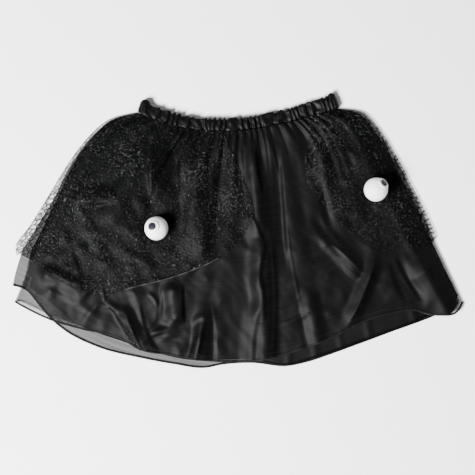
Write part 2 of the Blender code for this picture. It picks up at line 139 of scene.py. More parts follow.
@dataclass(frozen=True)
class Sections:
    """Lines across the skirt, each with its ends and how far its middle hangs below them.

    The columns are v, the left end's x and y, the right end's x and y, the sag of the middle and
    how far that bow leans to the left.
    """

    curve: Curve

    def place(self, u: Array, v: Array) -> tuple[Array, Array]:
        """Where the cloth lies on the surface: the line at v, less a parabola of its sag.

        Args:
            u: The share across.
            v: The share down.

        Returns:
            x and y in millimetres.
        """
        left_x, left_y, right_x, right_y, sag, lean = (self.curve(v, c) for c in range(1, 7))
        inside = np.clip(u, 0, 1)
        bow = sag * 4 * inside * (1 - inside) * (1 + lean * (0.5 - inside))
        return (1 - u) * left_x + u * right_x, (1 - u) * left_y + u * right_y - bow

    def width(self, v: Array) -> Array:
        """The straight distance from side to side at v."""
        return self.curve(v, 3) - self.curve(v, 1)

    def from_side(self, u: Array, v: Array) -> Array:
        """How far in from the nearer side a point lies, and less than 0 outside it."""
        return np.minimum(u, 1 - u) * self.width(v)


FRONT = Sections(
    Curve(
        (
            (0.00, -124, 147, 125, 152, 25, 0.6),
            (0.11, -157, 138, 155, 147, 50, 0.4),
            (0.23, -184, 113, 178, 122, 59, 0.2),
            (0.36, -207, 78, 197, 91, 63, 0.1),
            (0.49, -222, 47, 213, 59, 67, 0.0),
            (0.63, -244, 1, 231, 23, 69, 0.0),
            (0.77, -259, -31, 248, -18, 72, 0.0),
            (0.86, -264, -53, 259, -41, 73, 0.0),
            (1.00, -278, -89, 280, -87, 75, 0.0),
            (1.10, -288, -115, 290, -114, 76, 0.0),
        )
    )
)
BACK = Sections(
    Curve(
        (
            (0.00, -124, 147, 125, 152, 25, 0.6),
            (0.11, -158, 137, 152, 146, 50, 0.4),
            (0.23, -188, 111, 174, 121, 59, 0.2),
            (0.36, -212, 76, 193, 89, 64, 0.1),
            (0.49, -228, 43, 208, 58, 68, 0.0),
            (0.63, -249, 8, 226, 22, 72, 0.0),
            (0.77, -269, -26, 245, -19, 79, 0.0),
            (0.86, -276, -47, 256, -42, 83, 0.0),
            (1.00, -281, -68, 277, -86, 88, 0.0),
            (1.10, -285, -83, 286, -114, 90, 0.0),
        )
    )
)

# How far down each cloth piece reaches (second column), at each share of the way across it.
ORGANZA_FRONT_HEM = Curve(
    (
        (0.00, 1.00), (0.08, 1.00), (0.15, 0.985), (0.23, 0.97), (0.28, 0.995),
        (0.35, 0.995), (0.42, 1.00), (0.52, 1.00), (0.60, 0.985), (0.65, 0.97),
        (0.74, 0.945), (0.79, 0.93), (0.85, 0.935), (0.90, 0.955), (0.945, 1.01),
        (0.985, 1.03), (1.00, 1.01),
    )
)
LINING_FRONT_HEM = Curve(
    (
        (0.00, 0.86), (0.05, 0.90), (0.11, 0.94), (0.18, 0.95), (0.25, 0.965),
        (0.31, 0.978), (0.42, 0.98), (0.52, 0.98), (0.60, 0.965), (0.65, 0.95),
        (0.74, 0.925), (0.79, 0.91), (0.85, 0.915), (0.90, 0.94), (0.945, 1.00),
        (0.985, 1.02), (1.00, 1.00),
    )
)
ORGANZA_BACK_HEM = Curve(
    (
        (0.00, 1.00), (0.03, 0.97), (0.06, 1.02), (0.09, 1.07), (0.13, 1.10), (0.19, 1.10),
        (0.29, 1.065), (0.36, 1.05), (0.43, 1.04), (0.465, 1.015), (0.54, 1.00),
        (0.61, 1.025), (0.66, 1.018), (0.71, 1.005), (0.78, 0.994), (0.86, 0.994),
        (0.94, 1.008), (0.97, 1.012), (1.00, 0.985),
    )
)
LINING_BACK_HEM = Curve(
    (
        (0.00, 0.93), (0.06, 0.96), (0.11, 1.01), (0.15, 1.01), (0.23, 1.00), (0.29, 1.005),
        (0.40, 1.005), (0.47, 0.985), (0.54, 0.98), (0.61, 1.018), (0.71, 1.003),
        (0.78, 0.992), (0.86, 0.990), (0.94, 0.998), (1.00, 0.995),
    )
)
# The line of the petals' hems, by the share across at the waist.
PETAL_LINE = Curve(
    (
        (0.00, 0.79), (0.08, 0.82), (0.15, 0.785), (0.18, 0.735), (0.22, 0.685),
        (0.26, 0.645), (0.30, 0.605), (0.35, 0.555), (0.40, 0.47), (0.43, 0.38),
        (0.55, 0.44), (0.70, 0.46), (0.80, 0.36), (0.85, 0.30), (0.87, 0.40), (0.89, 0.52),
        (0.91, 0.60), (0.93, 0.67), (0.96, 0.71), (1.00, 0.76),
    )
)
# The petals' side edges at each v: the left one's outer and inner, the right one's inner and outer.
PETAL_EDGES = Curve(
    (
        (0.00, -0.010, 0.430, 0.850, 1.010),
        (0.08, -0.011, 0.474, 0.798, 1.008),
        (0.16, -0.012, 0.508, 0.755, 1.006),
        (0.24, -0.015, 0.535, 0.740, 1.005),
        (0.32, -0.018, 0.558, 0.735, 1.005),
        (0.45, -0.024, 0.562, 0.735, 1.006),
        (0.60, -0.036, 0.562, 0.735, 1.006),
        (0.71, -0.047, 0.562, 0.735, 1.008),
        (0.80, -0.032, 0.562, 0.735, 1.008),
        (1.10, -0.032, 0.562, 0.735, 1.008),
    )
)
# How far the air inside lifts the front, and how high the gathers stand, at each v.
AIR_UNDER_FRONT = Curve(
    (
        (0.00, 3.1), (0.10, 3.4), (0.40, 3.5), (0.70, 3.0), (0.90, 1.4), (1.00, 0.6),
        (1.10, 0.5),
    )
)
FRONT_GATHERS = Curve(
    (
        (0.00, 0.4), (0.05, 2.0), (0.15, 2.2), (0.30, 1.5), (0.50, 0.8), (1.00, 0.3),
        (1.10, 0.3),
    )
)
BACK_GATHERS = Curve(
    (
        (0.00, 0.2), (0.05, 1.1), (0.15, 1.1), (0.30, 0.0), (0.50, 0.0), (1.10, 0.0),
    )
)

# How much higher the waistband's top edge stands than along its even middle.
BAND_TOP = Curve(
    (
        (0.00, 4.2), (0.02, 3.2), (0.04, 0.9), (0.08, 0.2), (0.14, 0.0), (0.68, 0.0),
        (0.74, 0.0), (0.80, 1.2), (0.87, 2.6), (0.93, 2.2), (0.96, 1.9), (0.98, 4.4),
        (1.00, 5.6),
    )
)


@dataclass(frozen=True)
class Ridge:
    """A fold or crease: a rounded ridge, or a trough where its height is less than 0.

    It runs from its first end to its last and bends to its left, with a height of cosine squared
    across and a soft rise at each end over a share of its length, except at a last end that runs
    out over the hem. Its crest may lean to its left (above 0) or its right, which makes that side
    the steeper one.
    """

    x0: float
    y0: float
    x1: float
    y1: float
    bend: float
    half: float
    height: float
    lean: float = 0.0
    runs_out: bool = False
    ends: float = 0.3

    def rise(self, x: Array, y: Array) -> Array:
        """The ridge's height: the cosine squared of how far aside a place lies, faded at the ends.

        Args:
            x: The places across, in millimetres.
            y: The places up the skirt, in millimetres.

        Returns:
            The heights in millimetres.
        """
        length = math.hypot(self.x1 - self.x0, self.y1 - self.y0)
        dx, dy = (self.x1 - self.x0) / length, (self.y1 - self.y0) / length
        share = ((x - self.x0) * dx + (y - self.y0) * dy) / length
        bow = self.bend * 4 * share * (1 - share)
        aside = (y - self.y0) * dx - (x - self.x0) * dy - bow
        off = np.clip(aside / self.half, -1, 1) - self.lean
        flank = np.where(off < 0, 1 + self.lean, 1 - self.lean)
        across = np.cos(math.pi / 2 * off / flank) ** 2
        fade = ease(share / self.ends) * (1 if self.runs_out else ease((1 - share) / self.ends))
        return self.height * across * fade


# The folds of the solids, which every layer of the front follows.
FOLDS = (
    Ridge(8, 121, 31, -24, 4, 17, 6),
    Ridge(30, 10, 33, -166, 2, 20, 6, 0, True),
    Ridge(-59, 119, -44, -56, 0, 24, 6),
    Ridge(52, 126, 90, -87, -4, 18, 2.5),
    Ridge(82, -62, 101, -152, 0, 18, 4.5, 0, True),
    Ridge(-109, 113, -172, -6, 6, 26, 5.5),
    Ridge(-212, 40, -105, 32, 6, 18, 4.5),
    Ridge(-262, -48, -180, -92, 8, 16, 4),
    Ridge(-148, -92, -113, -152, 0, 15, 5, 0, True),
    Ridge(-84, -60, -79, -120, 0, 15, 4.5),
    Ridge(-39, -85, -47, -164, 0, 16, 4.5, 0, True),
    Ridge(143, 126, 195, 10, -6, 26, 3.5),
    Ridge(108, 120, 106, 38, 0, 16, 3),
    Ridge(98, 4, 160, -62, 0, 15, 4),
    Ridge(173, -22, 131, -127, 4, 14, 5),
    Ridge(220, -30, 270, -97, 0, 32, 6.5, 0, True),
)

# Finer creases, pressed and crumpled into the cloth between the folds.
CREASES = (
    Ridge(38, 117, 55, 40, 2, 3, 0.5, 0.4),
    Ridge(58, 30, 94, -150, -5, 2.2, 0.5, 0.4, True),
    Ridge(2, 26, 28, -30, 2, 13, 2.7, 0.6),
    Ridge(28, -6, 18, -76, -3, 14, 3.0, 0.5),
    Ridge(17, -46, 23, -118, 3, 13, 2.8, 0.6),
    Ridge(22, -84, 12, -160, -3, 13, 2.8, 0.4, True),
    Ridge(38, 10, 44, -150, 5, 3, 0.9, 0.3, True),
    Ridge(2, 116, 16, 44, -5, 5, 1.0, 0.4),
    Ridge(20, 112, 32, 38, -4, 4, 1.3, 0.5),
    Ridge(-26, -86, -20, -164, 3, 10, 1.6, -0.6, True),
    Ridge(-46, -100, -60, -164, 2, 10, 2.0, 0.6, True),
    Ridge(-20, 104, -18, 0, 3, 16, -2.4, -0.5),
    Ridge(-46, 108, -48, -48, 0, 12, 0.8, 0.3),
    Ridge(-95, 118, -97, 34, 0, 16, 5.0, -0.6),
    Ridge(-83, 120, -82, 34, 0, 13, -3.4, 0.5),
    Ridge(-142, -72, -109, -61, 0, 2.4, 1.1, 0.3),
    Ridge(-112, -61, -72, -59, -1.5, 2.6, 1.2, 0.3),
    Ridge(-76, -60, -32, -37, -1, 2.2, 0.9, 0.3),
    Ridge(-108, 108, -122, 36, 2, 9, 1.4, 0.5),
    Ridge(-138, 104, -196, 52, 6, 10, 1.5, -0.4),
    Ridge(-226, 50, -140, 44, -9, 7, 1.8, -0.6),
    Ridge(-210, 36, -176, -14, 5, 10, 1.6, 0.3),
    Ridge(-190, 10, -160, -30, -4, 9, 1.4, -0.3),
    Ridge(-150, 8, -112, -22, 5, 9, 1.3),
    Ridge(-214, -20, -196, -80, 4, 8, 1.3, 0.3),
    Ridge(-236, -40, -180, -66, -5, 8, 1.5, -0.4),
    Ridge(-194, -84, -160, -62, 3, 5, 1.3),
    Ridge(-140, -50, -100, -44, 4, 8, 1.2),
    Ridge(-80, -68, -78, -116, 0, 13, 3.4, 0.8, False, 0.12),
    Ridge(-93, -62, -95, -112, 0, 2.4, 0.9, -0.4),
    Ridge(-97, -113, -64, -115, -1, 2.4, 1.0, -0.3),
    Ridge(-142, -98, -124, -146, 0, 5, 2.2, 0.5, True),
    Ridge(-168, -78, -126, -142, 4, 6, 1.8, -0.5),
    Ridge(-124, -140, -70, -118, 5, 6, 2.0, -0.5),
    Ridge(-122, -132, -96, -100, -3, 5, 1.5, 0.4),
    Ridge(-170, -70, -166, -92, 2, 3, 1.1, 0.3),
    Ridge(-112, -76, -98, -96, 3, 4, 1.3, -0.4),
    Ridge(-60, -118, -36, -104, 3, 6, 1.4, -0.3),
    Ridge(-40, -126, -54, -160, 0, 9, 2.2, -0.6, True),
    Ridge(-124, -86, -104, -150, -4, 5, 1.5, 0.4, True),
    Ridge(-180, -92, -124, -108, 5, 7, 1.4, -0.3),
    Ridge(-116, -124, -66, -134, 4, 7, 1.5, -0.5),
    Ridge(-104, -142, -62, -124, 3, 5, 1.2),
    Ridge(-50, -108, -56, -164, 2, 8, 1.7, 0.5, True),
    Ridge(-242, -70, -160, -118, 5, 7, 1.0, -0.3),
    Ridge(42, 108, 53, -58, 0, 13, -3.4, 0.5),
    Ridge(46, -104, 84, -84, -4, 7, 1.2, 0.4),
    Ridge(78, 112, 98, 20, 3, 14, 1.2, 0.5),
    Ridge(92, 80, 116, -6, 4, 8, -1.8),
    Ridge(92, 26, 142, -44, -4, 9, -1.5),
    Ridge(112, -14, 158, -56, 2, 3.2, 1.6, 0.3),
    Ridge(128, -40, 156, -60, -3, 3, 1.1, 0.3),
    Ridge(174, -22, 131, -128, 4, 3.4, 1.9, 0.3),
    Ridge(136, -130, 118, -160, 0, 6, 1.2, 0, True),
    Ridge(178, -38, 200, -96, -3, 14, 1.6, 0.5),
    Ridge(199, -26, 236, -90, -2, 8, -2.2, -0.4),
    Ridge(218, -24, 264, -98, 2, 22, 2.2, 0.6, True),
    Ridge(186, 44, 226, -40, -4, 8, 1.2, 0.4),
    Ridge(126, 100, 152, 84, 4, 10, 1.2),
    Ridge(116, 64, 140, 58, 3, 8, 1.0),
    Ridge(122, 30, 160, 22, -4, 9, 1.3),
    Ridge(64, -96, 130, -106, 5, 9, 1.0, -0.3),
    Ridge(78, -64, 95, -156, 0, 13, -1.8, -0.3, True),
    Ridge(46, -120, 96, -96, -4, 6, 1.2, 0.3),
)

# Where the balls lie, and the dent that each presses into the front.
BALL_PLACES = {Side.LEFT: (-99.5, 2.5), Side.RIGHT: (169.5, 50.0)}
DENT_DEPTH = 3.0
DENT_RADIUS = 14.0


@dataclass(frozen=True)
class Ripple:
    """Two crossing waves, each bent by a slower one, with their paces in radians a millimetre."""

    across: float
    across_bend: float
    across_bend_pace: float
    across_start: float
    down: float
    down_bend: float
    down_bend_pace: float

    def at(self, x: Array, y: Array) -> Array:
        """The sine of one wave times the sine of the other.

        Args:
            x: The places across, in millimetres.
            y: The places up the skirt, in millimetres.

        Returns:
            Values from -1 to 1.
        """
        bend = self.across_bend * np.sin(self.across_bend_pace * y + self.across_start)
        slant = self.down_bend * np.sin(self.down_bend_pace * x)
        return np.sin(self.across * x + bend) * np.sin(self.down * y + slant)


BROAD_RIPPLE = Ripple(0.19, 2.4, 0.047, 0, 0.14, 2.0, 0.053)
NARROW_RIPPLE = Ripple(0.37, 2.2, 0.11, 1, 0.29, 1.8, 0.09)


@dataclass(frozen=True)
class FrontForm:
    """The form that the front's layers share: air, gathers, folds and creases, less the dents.

    The pressed lines' columns are their pace across and up the skirt, how far they bend, and that
    bend's pace and start, in radians and millimetres.
    """

    gathers: int = 14
    pleats: int = 33
    pleat_height: float = 3.4
    pleat_uneven: float = 0.35
    pleat_wander: float = 0.004
    pleat_crest: float = 1.5
    pleat_power: float = 0.7
    pleat_start: float = 0.012
    pleat_fade: float = 0.10
    fade_uneven: float = 0.6
    wander_paces: tuple[float, float] = (19, 7)
    uneven_pace: tuple[float, float] = (23, 2)
    fade_pace: float = 31
    crumple: float = 0.40
    narrow_share: float = 0.35
    press: float = 2.0
    press_top: float = 60.0
    press_depth: float = 120.0
    press_along: Row = (0.061, 0.043, 1.5, 0.037, 1)
    press_across: Row = (0.044, -0.070, 1.3, 0.041, 2)
    worn_left: float = 1.35
    worn_loss: float = 0.75
    worn_from: float = -120.0
    worn_over: float = 140.0
    fine_extra: float = 0.35

    def folds(self, x: Array, y: Array) -> Array:
        """The highest of the folds at each place."""
        return np.maximum.reduce([fold.rise(x, y) for fold in FOLDS])

    def dents(self, x: Array, y: Array) -> Array:
        """The sum of a bell-shaped dent under each ball.

        Args:
            x: The places across, in millimetres.
            y: The places up the skirt, in millimetres.

        Returns:
            How deep the dents are.
        """
        places = BALL_PLACES.values()
        bells = [bell(x - ball_x, y - ball_y, DENT_RADIUS) for ball_x, ball_y in places]
        return DENT_DEPTH * np.sum(bells, axis=0)

    def pleated(self, u: Array, v: Array) -> Array:
        """Pleats below the waistband: rounded sine crests that fade down the skirt.

        Args:
            u: The share across.
            v: The share down.

        Returns:
            The height, which falls off as e to the minus v over a reach that varies across.
        """
        across, down = self.wander_paces
        pace, start = self.uneven_pace
        wander = self.pleat_wander * np.sin(across * u + down * v)
        phase = math.pi * self.pleats * (uneven(u) + wander)
        vary = 1 - self.pleat_uneven + self.pleat_uneven * np.sin(pace * u + start)
        reach = self.pleat_fade * (1 + self.fade_uneven * np.sin(self.fade_pace * u))
        shape = self.pleat_crest * np.abs(np.sin(phase)) ** self.pleat_power - 1
        return self.pleat_height * vary * ease(v / self.pleat_start) * np.exp(-v / reach) * shape

    @staticmethod
    def lines(x: Array, y: Array, bent_by: Array, columns: Row) -> Array:
        """Sharp parallel lines: 1 less the size of a bent sine.

        Args:
            x: The places across, in millimetres.
            y: The places up the skirt, in millimetres.
            bent_by: Which of the two places the lines bend with.
            columns: The lines' paces, bend, and the bend's pace and start.

        Returns:
            Values from 0 to 1.
        """
        across, up, bend, bend_pace, start = columns
        return 1 - np.abs(np.sin(across * x + up * y + bend * np.sin(bend_pace * bent_by + start)))

    def worn(self, x: Array, y: Array) -> Array:
        """What handling leaves: a crumple of ripples, and pressed lines that cross low down.

        Args:
            x: The places across, in millimetres.
            y: The places up the skirt, in millimetres.

        Returns:
            The height, which is greatest at the left.
        """
        ripples = BROAD_RIPPLE.at(x, y) + self.narrow_share * NARROW_RIPPLE.at(x, y)
        pressed = self.lines(x, y, y, self.press_along) * self.lines(x, y, x, self.press_across)
        lower = ease((self.press_top - y) / self.press_depth)
        leftward = self.worn_left - self.worn_loss * ease((x - self.worn_from) / self.worn_over)
        return leftward * (self.crumple * ripples + self.press * lower * pressed)

    def fine(self, u: Array, v: Array, x: Array, y: Array) -> Array:
        """The fine relief: pleats, plus the sum of the creases, plus what handling leaves."""
        creases = np.sum([crease.rise(x, y) for crease in CREASES], axis=0)
        return self.pleated(u, v) + creases + self.worn(x, y)

    def rise(self, u: Array, v: Array, x: Array, y: Array, fold_share: float) -> Array:
        """How far the front stands off its flat place: air, a cosine's gathers, folds and creases.

        Args:
            u: The share across.
            v: The share down.
            x: The place across, in millimetres.
            y: The place up the skirt, in millimetres.
            fold_share: How much of the folds and creases this layer takes.

        Returns:
            The height, which fades to nothing at the sides.
        """
        inside = ease((FRONT.from_side(u, v) - SIDE_INSET) / SIDE_RAMP)
        wave = (1 + np.cos(2 * math.pi * self.gathers * uneven(u))) / 2
        big = AIR_UNDER_FRONT(v) + FRONT_GATHERS(v) * wave + fold_share * self.folds(x, y)
        small = min(1.0, fold_share + self.fine_extra) * self.fine(u, v, x, y)
        near_ball = np.clip(self.dents(x, y) / DENT_DEPTH, 0, 1)
        return inside * (big + small * (1 - near_ball) - self.dents(x, y))


FORM = FrontForm()
# How high the underside of each layer's wall lies where nothing lifts it.
LINING_BACK_SEAT = WALL + LAYER_GAP
LINING_FRONT_SEAT = LINING_BACK_SEAT + WALL + SEAM_GAP
ORGANZA_FRONT_SEAT = LINING_FRONT_SEAT + WALL + LAYER_GAP
PETAL_SEAT = ORGANZA_FRONT_SEAT + WALL + LAYER_GAP
# How much of the folds the front lining takes.
LINING_FOLD_SHARE = 0.65

# Soft creases of the back lining, where the front's hem leaves it in view.
BACK_CREASES = (
    Ridge(158, -96, 166, -146, 0, 6, 1.0, 0.3, True),
    Ridge(214, -84, 224, -130, 0, 7, 1.1, 0.3, True),
    Ridge(96, -130, 100, -170, 0, 7, 0.9, -0.3, True),
    Ridge(64, -140, 62, -176, 0, 6, 0.8, 0.3, True),
    Ridge(124, -120, 132, -160, 0, 5, 0.8, 0.3, True),
    Ridge(-160, -100, -140, -150, 0, 8, 0.7, 0.3, True),
    Ridge(-210, -70, -190, -120, 0, 8, 0.6, 0.3, True),
)
# How steeply a petal droops outside the skirt's side.
PETAL_DROOP = 0.2
HALF_WALL = WALL / 2
BACK_GATHER_COUNT = 9


def back_rise(u: Array, v: Array) -> Array:
    """How far the back's gathers lift it: cosine waves that fade out down the skirt.

    Args:
        u: The share across.
        v: The share down.

    Returns:
        The height in millimetres.
    """
    inside = ease((BACK.from_side(u, v) - SIDE_INSET) / SIDE_RAMP)
    wave = 1 + np.cos(2 * BACK_GATHER_COUNT * math.pi * uneven(u))
    return inside * np.maximum(BACK_GATHERS(v), 0) * wave / 2


def organza_back_height(u: Array, v: Array, x: Array, y: Array) -> Array:
    """The back organza lies a quarter of a wall above the surface, apart from its gathers."""
    return HALF_WALL / 2 + back_rise(u, v)


def lining_back_height(u: Array, v: Array, x: Array, y: Array) -> Array:
    """The back lining lies on the back organza, with its own soft creases near the hem."""
    creases = np.sum([crease.rise(x, y) for crease in BACK_CREASES], axis=0)
    return LINING_BACK_SEAT + HALF_WALL + back_rise(u, v) + creases


def lining_front_height(u: Array, v: Array, x: Array, y: Array) -> Array:
    """The front lining follows the folds in part."""
    return LINING_FRONT_SEAT + HALF_WALL + FORM.rise(u, v, x, y, LINING_FOLD_SHARE)


def organza_front_height(u: Array, v: Array, x: Array, y: Array) -> Array:
    """The front organza follows the folds, and comes down onto the back organza at its sides.

    Args:
        u: The share across.
        v: The share down.
        x: The place across, in millimetres.
        y: The place up the skirt, in millimetres.

    Returns:
        The height in millimetres: a straight climb over the side's inset, plus the form's rise.
    """
    climb = np.clip(FRONT.from_side(u, v) / SIDE_INSET, 0, 1)
    seat = (1 - climb) * (WALL + SEAM_GAP) + climb * (ORGANZA_FRONT_SEAT + HEM_LOFT * ease(v))
    return seat + HALF_WALL + FORM.rise(u, v, x, y, 1.0)


def petal_height(u: Array, v: Array, x: Array, y: Array) -> Array:
    """A petal follows the organza under it, and comes down past the skirt's side.

    Args:
        u: The share across, below 0 or above 1 where the petal hangs out.
        v: The share down.
        x: The place across, in millimetres.
        y: The place up the skirt, in millimetres.

    Returns:
        The height in millimetres: it droops in a straight line outside the side.
    """
    side = FRONT.from_side(u, v)
    climb = np.clip(side / SIDE_INSET, 0, 1)
    on_edge = 2 * (WALL + SEAM_GAP) + PETAL_DROOP * np.minimum(side, 0)
    on_organza = PETAL_SEAT + HEM_LOFT * ease(v)
    seat = (1 - climb) * np.maximum(on_edge, WALL + SEAM_GAP) + climb * on_organza
    return seat + HALF_WALL + FORM.rise(u, v, x, y, 1.0)


Height = Callable[[Array, Array, Array, Array], Array]


def mesh_piece(name: str, points: Array, faces: Array, material: bpy.types.Material,
               uv: Array | None = None, caps: Array | None = None) -> bpy.types.Object:
    """A mesh object from whole arrays.

    Args:
        name: The piece's name.
        points: Points by 3, in millimetres.
        faces: Faces by 4, as point numbers.
        material: What the piece is made of.
        uv: Points by 2, in metres of flat cloth, where a pattern follows the surface.
        caps: Triangles by 3 point numbers that close the ends, where it has ends.

    Returns:
        The piece, linked to the scene and shaded smooth.
    """
    mesh = bpy.data.meshes.new(name)
    corners = faces.ravel()
    starts = np.arange(0, faces.size, faces.shape[1])
    if caps is not None:
        starts = np.concatenate([starts, faces.size + 3 * np.arange(len(caps))])
        corners = np.concatenate([corners, caps.ravel()])
    mesh.vertices.add(len(points))
    mesh.vertices.foreach_set("co", np.ascontiguousarray(points * MM, np.float32).ravel())
    mesh.loops.add(len(corners))
    mesh.loops.foreach_set("vertex_index", corners.astype(np.int32))
    mesh.polygons.add(len(starts))
    mesh.polygons.foreach_set("loop_start", starts.astype(np.int32))
    mesh.update(calc_edges=True)
    mesh.validate()
    if uv is not None:
        layer = mesh.uv_layers.new(name="cloth")
        layer.data.foreach_set("uv", uv[corners].astype(np.float32).ravel())
    mesh.shade_smooth()
    mesh.materials.append(material)
    piece = bpy.data.objects.new(name, mesh)
    bpy.context.scene.collection.objects.link(piece)
    return piece


def fan(centre: int, ring: Array) -> Array:
    """Triangles by 3 point numbers, from a centre point to each side of a ring."""
    return np.stack([np.full(len(ring), centre), ring, np.roll(ring, -1)], axis=1)


def turned_over(faces: Array) -> Array:
    """Faces with their corners the other way round."""
    return np.roll(faces[:, ::-1], 1, axis=1)


def grid_faces(rows: int, columns: int, around: bool = False, along: bool = False) -> Array:
    """The squares between the points of a grid that is stored row by row.

    Args:
        rows: How many rows of points.
        columns: How many points a row has.
        around: Whether each row's last point joins its first.
        along: Whether the last row joins the first.

    Returns:
        Squares by 4 point numbers. They face up where rows run toward -Y and columns toward +X.
    """
    number = np.arange(rows * columns).reshape(rows, columns)
    if around:
        number = np.hstack([number, number[:, :1]])
    if along:
        number = np.vstack([number, number[:1]])
    corners = (number[:-1, :-1], number[1:, :-1], number[1:, 1:], number[:-1, 1:])
    return np.stack([corner.ravel() for corner in corners], axis=1)


def thicken(piece: bpy.types.Object, thickness: float) -> None:
    """Gives a surface a cloth's thickness, half on each side, and a rim.

    Args:
        piece: The surface.
        thickness: The cloth's thickness in millimetres.
    """
    shell = piece.modifiers.new("cloth", "SOLIDIFY")
    shell.thickness = thickness * MM
    shell.offset = 0.0


def run_along(path: Array) -> Array:
    """How far along a path of points by 3 each one lies: the running sum of its steps."""
    return np.concatenate([[0], np.cumsum(np.linalg.norm(np.diff(path, axis=0), axis=1))])


def tube_piece(name: str, path: Array, radius: Array, sides: int,
               material: bpy.types.Material, flat: float = 1.0) -> bpy.types.Object:
    """A closed tube along a path: circles at right angles to it, with a cap at each end.

    Args:
        name: The piece's name.
        path: Points by 3, in millimetres.
        radius: The radius at each point.
        sides: How many sides a circle has.
        material: What it is made of.
        flat: The circle's height as a share of its width.

    Returns:
        The tube, with a map in metres along it and turns around it.
    """
    ahead = np.gradient(path, axis=0)
    ahead /= np.linalg.norm(ahead, axis=1)[:, None]
    side = np.cross(ahead, (0.0, 0.0, 1.0))
    side /= np.linalg.norm(side, axis=1)[:, None]
    up = np.cross(side, ahead)
    angle = np.linspace(0, 2 * math.pi, sides, endpoint=False)
    circle = side[:, None] * np.cos(angle)[:, None] + flat * up[:, None] * np.sin(angle)[:, None]
    rings = path[:, None] + circle * radius[:, None, None]
    ends = np.array([rings[0].mean(axis=0), rings[-1].mean(axis=0)])
    points = np.vstack([rings.reshape(-1, 3), ends])
    turns = angle / (2 * math.pi)
    uv = np.stack(np.meshgrid(run_along(path) * MM, turns, indexing="ij"), axis=-1).reshape(-1, 2)
    uv = np.vstack([uv, uv[[0, -1]]])
    ring = np.arange(sides)
    near_cap = fan(len(points) - 2, ring)
    far_cap = turned_over(fan(len(points) - 1, ring + (len(path) - 1) * sides))
    squares = grid_faces(len(path), sides, around=True)
    return mesh_piece(name, points, squares, material, uv, np.vstack([near_cap, far_cap]))


class Shader:
    """A Principled material that is being put together, node by node."""

    def __init__(self, name: str) -> None:
        """Starts a plain material.

        Args:
            name: The material's name.
        """
        self.material = bpy.data.materials.new(name)
        self.material.use_nodes = True
        self.tree = self.material.node_tree
        self.surface = self.tree.nodes["Principled BSDF"]

    def set(self, **sockets: float | Sequence[float]) -> Shader:
        """Sets the shader's own sockets.

        Args:
            **sockets: A value for each socket, named with _ for a space.

        Returns:
            The same shader.
        """
        for name, value in sockets.items():
            self.surface.inputs[name.replace("_", " ")].default_value = value
        return self

    def node(self, kind: str, **settings: object) -> bpy.types.Node:
        """Adds a node.

        Args:
            kind: The node's type, without its prefix.
            **settings: The properties to set.

        Returns:
            The node.
        """
        made = self.tree.nodes.new(f"ShaderNode{kind}")
        for name, value in settings.items():
            setattr(made, name, value)
        return made

    def link(self, source: bpy.types.NodeSocket, target: bpy.types.NodeSocket) -> None:
        """Joins two sockets."""
        self.tree.links.new(source, target)

    def where(self, scale: Sequence[float], cloth: bool = True) -> bpy.types.NodeSocket:
        """Coordinates times a scale.

        Args:
            scale: How much each coordinate is multiplied by.
            cloth: Whether they are the cloth's own map, and otherwise the object's.

        Returns:
            The coordinates.
        """
        source = self.node("TexCoord")
        mapping = self.node("Mapping")
        mapping.inputs["Scale"].default_value = scale
        self.link(source.outputs["UV" if cloth else "Object"], mapping.inputs["Vector"])
        return mapping.outputs["Vector"]

    def noise(self, scale: Sequence[float], detail: float = 2.0,
              cloth: bool = True) -> bpy.types.NodeSocket:
        """A noise from 0 to 1.

        Args:
            scale: Grains a metre in each direction.
            detail: How many finer layers it has.
            cloth: Whether it follows the cloth's own map, and otherwise the object's.

        Returns:
            The noise.
        """
        made = self.node("TexNoise")
        made.inputs["Scale"].default_value = 1.0
        made.inputs["Detail"].default_value = detail
        self.link(self.where(scale, cloth), made.inputs["Vector"])
        return made.outputs["Fac"]

    def spread(self, source: bpy.types.NodeSocket, low: float, high: float,
               start: float = 0.25, end: float = 0.75) -> bpy.types.NodeSocket:
        """Maps a value in a straight line, and holds it between both ends.

        Args:
            source: The value.
            low: What it becomes at the start.
            high: What it becomes at the end.
            start: The value that becomes low.
            end: The value that becomes high.

        Returns:
            The mapped value.
        """
        made = self.node("MapRange", clamp=True)
        limits = {"From Min": start, "From Max": end, "To Min": low, "To Max": high}
        for name, value in limits.items():
            made.inputs[name].default_value = value
        self.link(source, made.inputs["Value"])
        return made.outputs["Result"]

    def blend(self, share: bpy.types.NodeSocket, low: Sequence[float],
              high: Sequence[float]) -> bpy.types.NodeSocket:
        """A colour between two.

        Args:
            share: How much of the second colour there is, from 0 to 1.
            low: The first colour.
            high: The second colour.

        Returns:
            The colour.
        """
        made = self.node("Mix", data_type="RGBA")
        made.inputs["A"].default_value = (*low, 1)
        made.inputs["B"].default_value = (*high, 1)
        self.link(share, made.inputs["Factor"])
        return made.outputs["Result"]

    def bump(self, height: bpy.types.NodeSocket, depth: float) -> None:
        """Roughens the surface.

        Args:
            height: The relief, from 0 to 1.
            depth: How deep it is, in millimetres.
        """
        made = self.node("Bump")
        made.inputs["Strength"].default_value = 1.0
        made.inputs["Distance"].default_value = depth * MM
        self.link(height, made.inputs["Height"])
        self.link(made.outputs["Normal"], self.surface.inputs["Normal"])

    def feed(self, source: bpy.types.NodeSocket, socket: str) -> None:
        """Links a pattern to one of the shader's sockets."""
        self.link(source, self.surface.inputs[socket])


Colour = tuple[float, float, float]


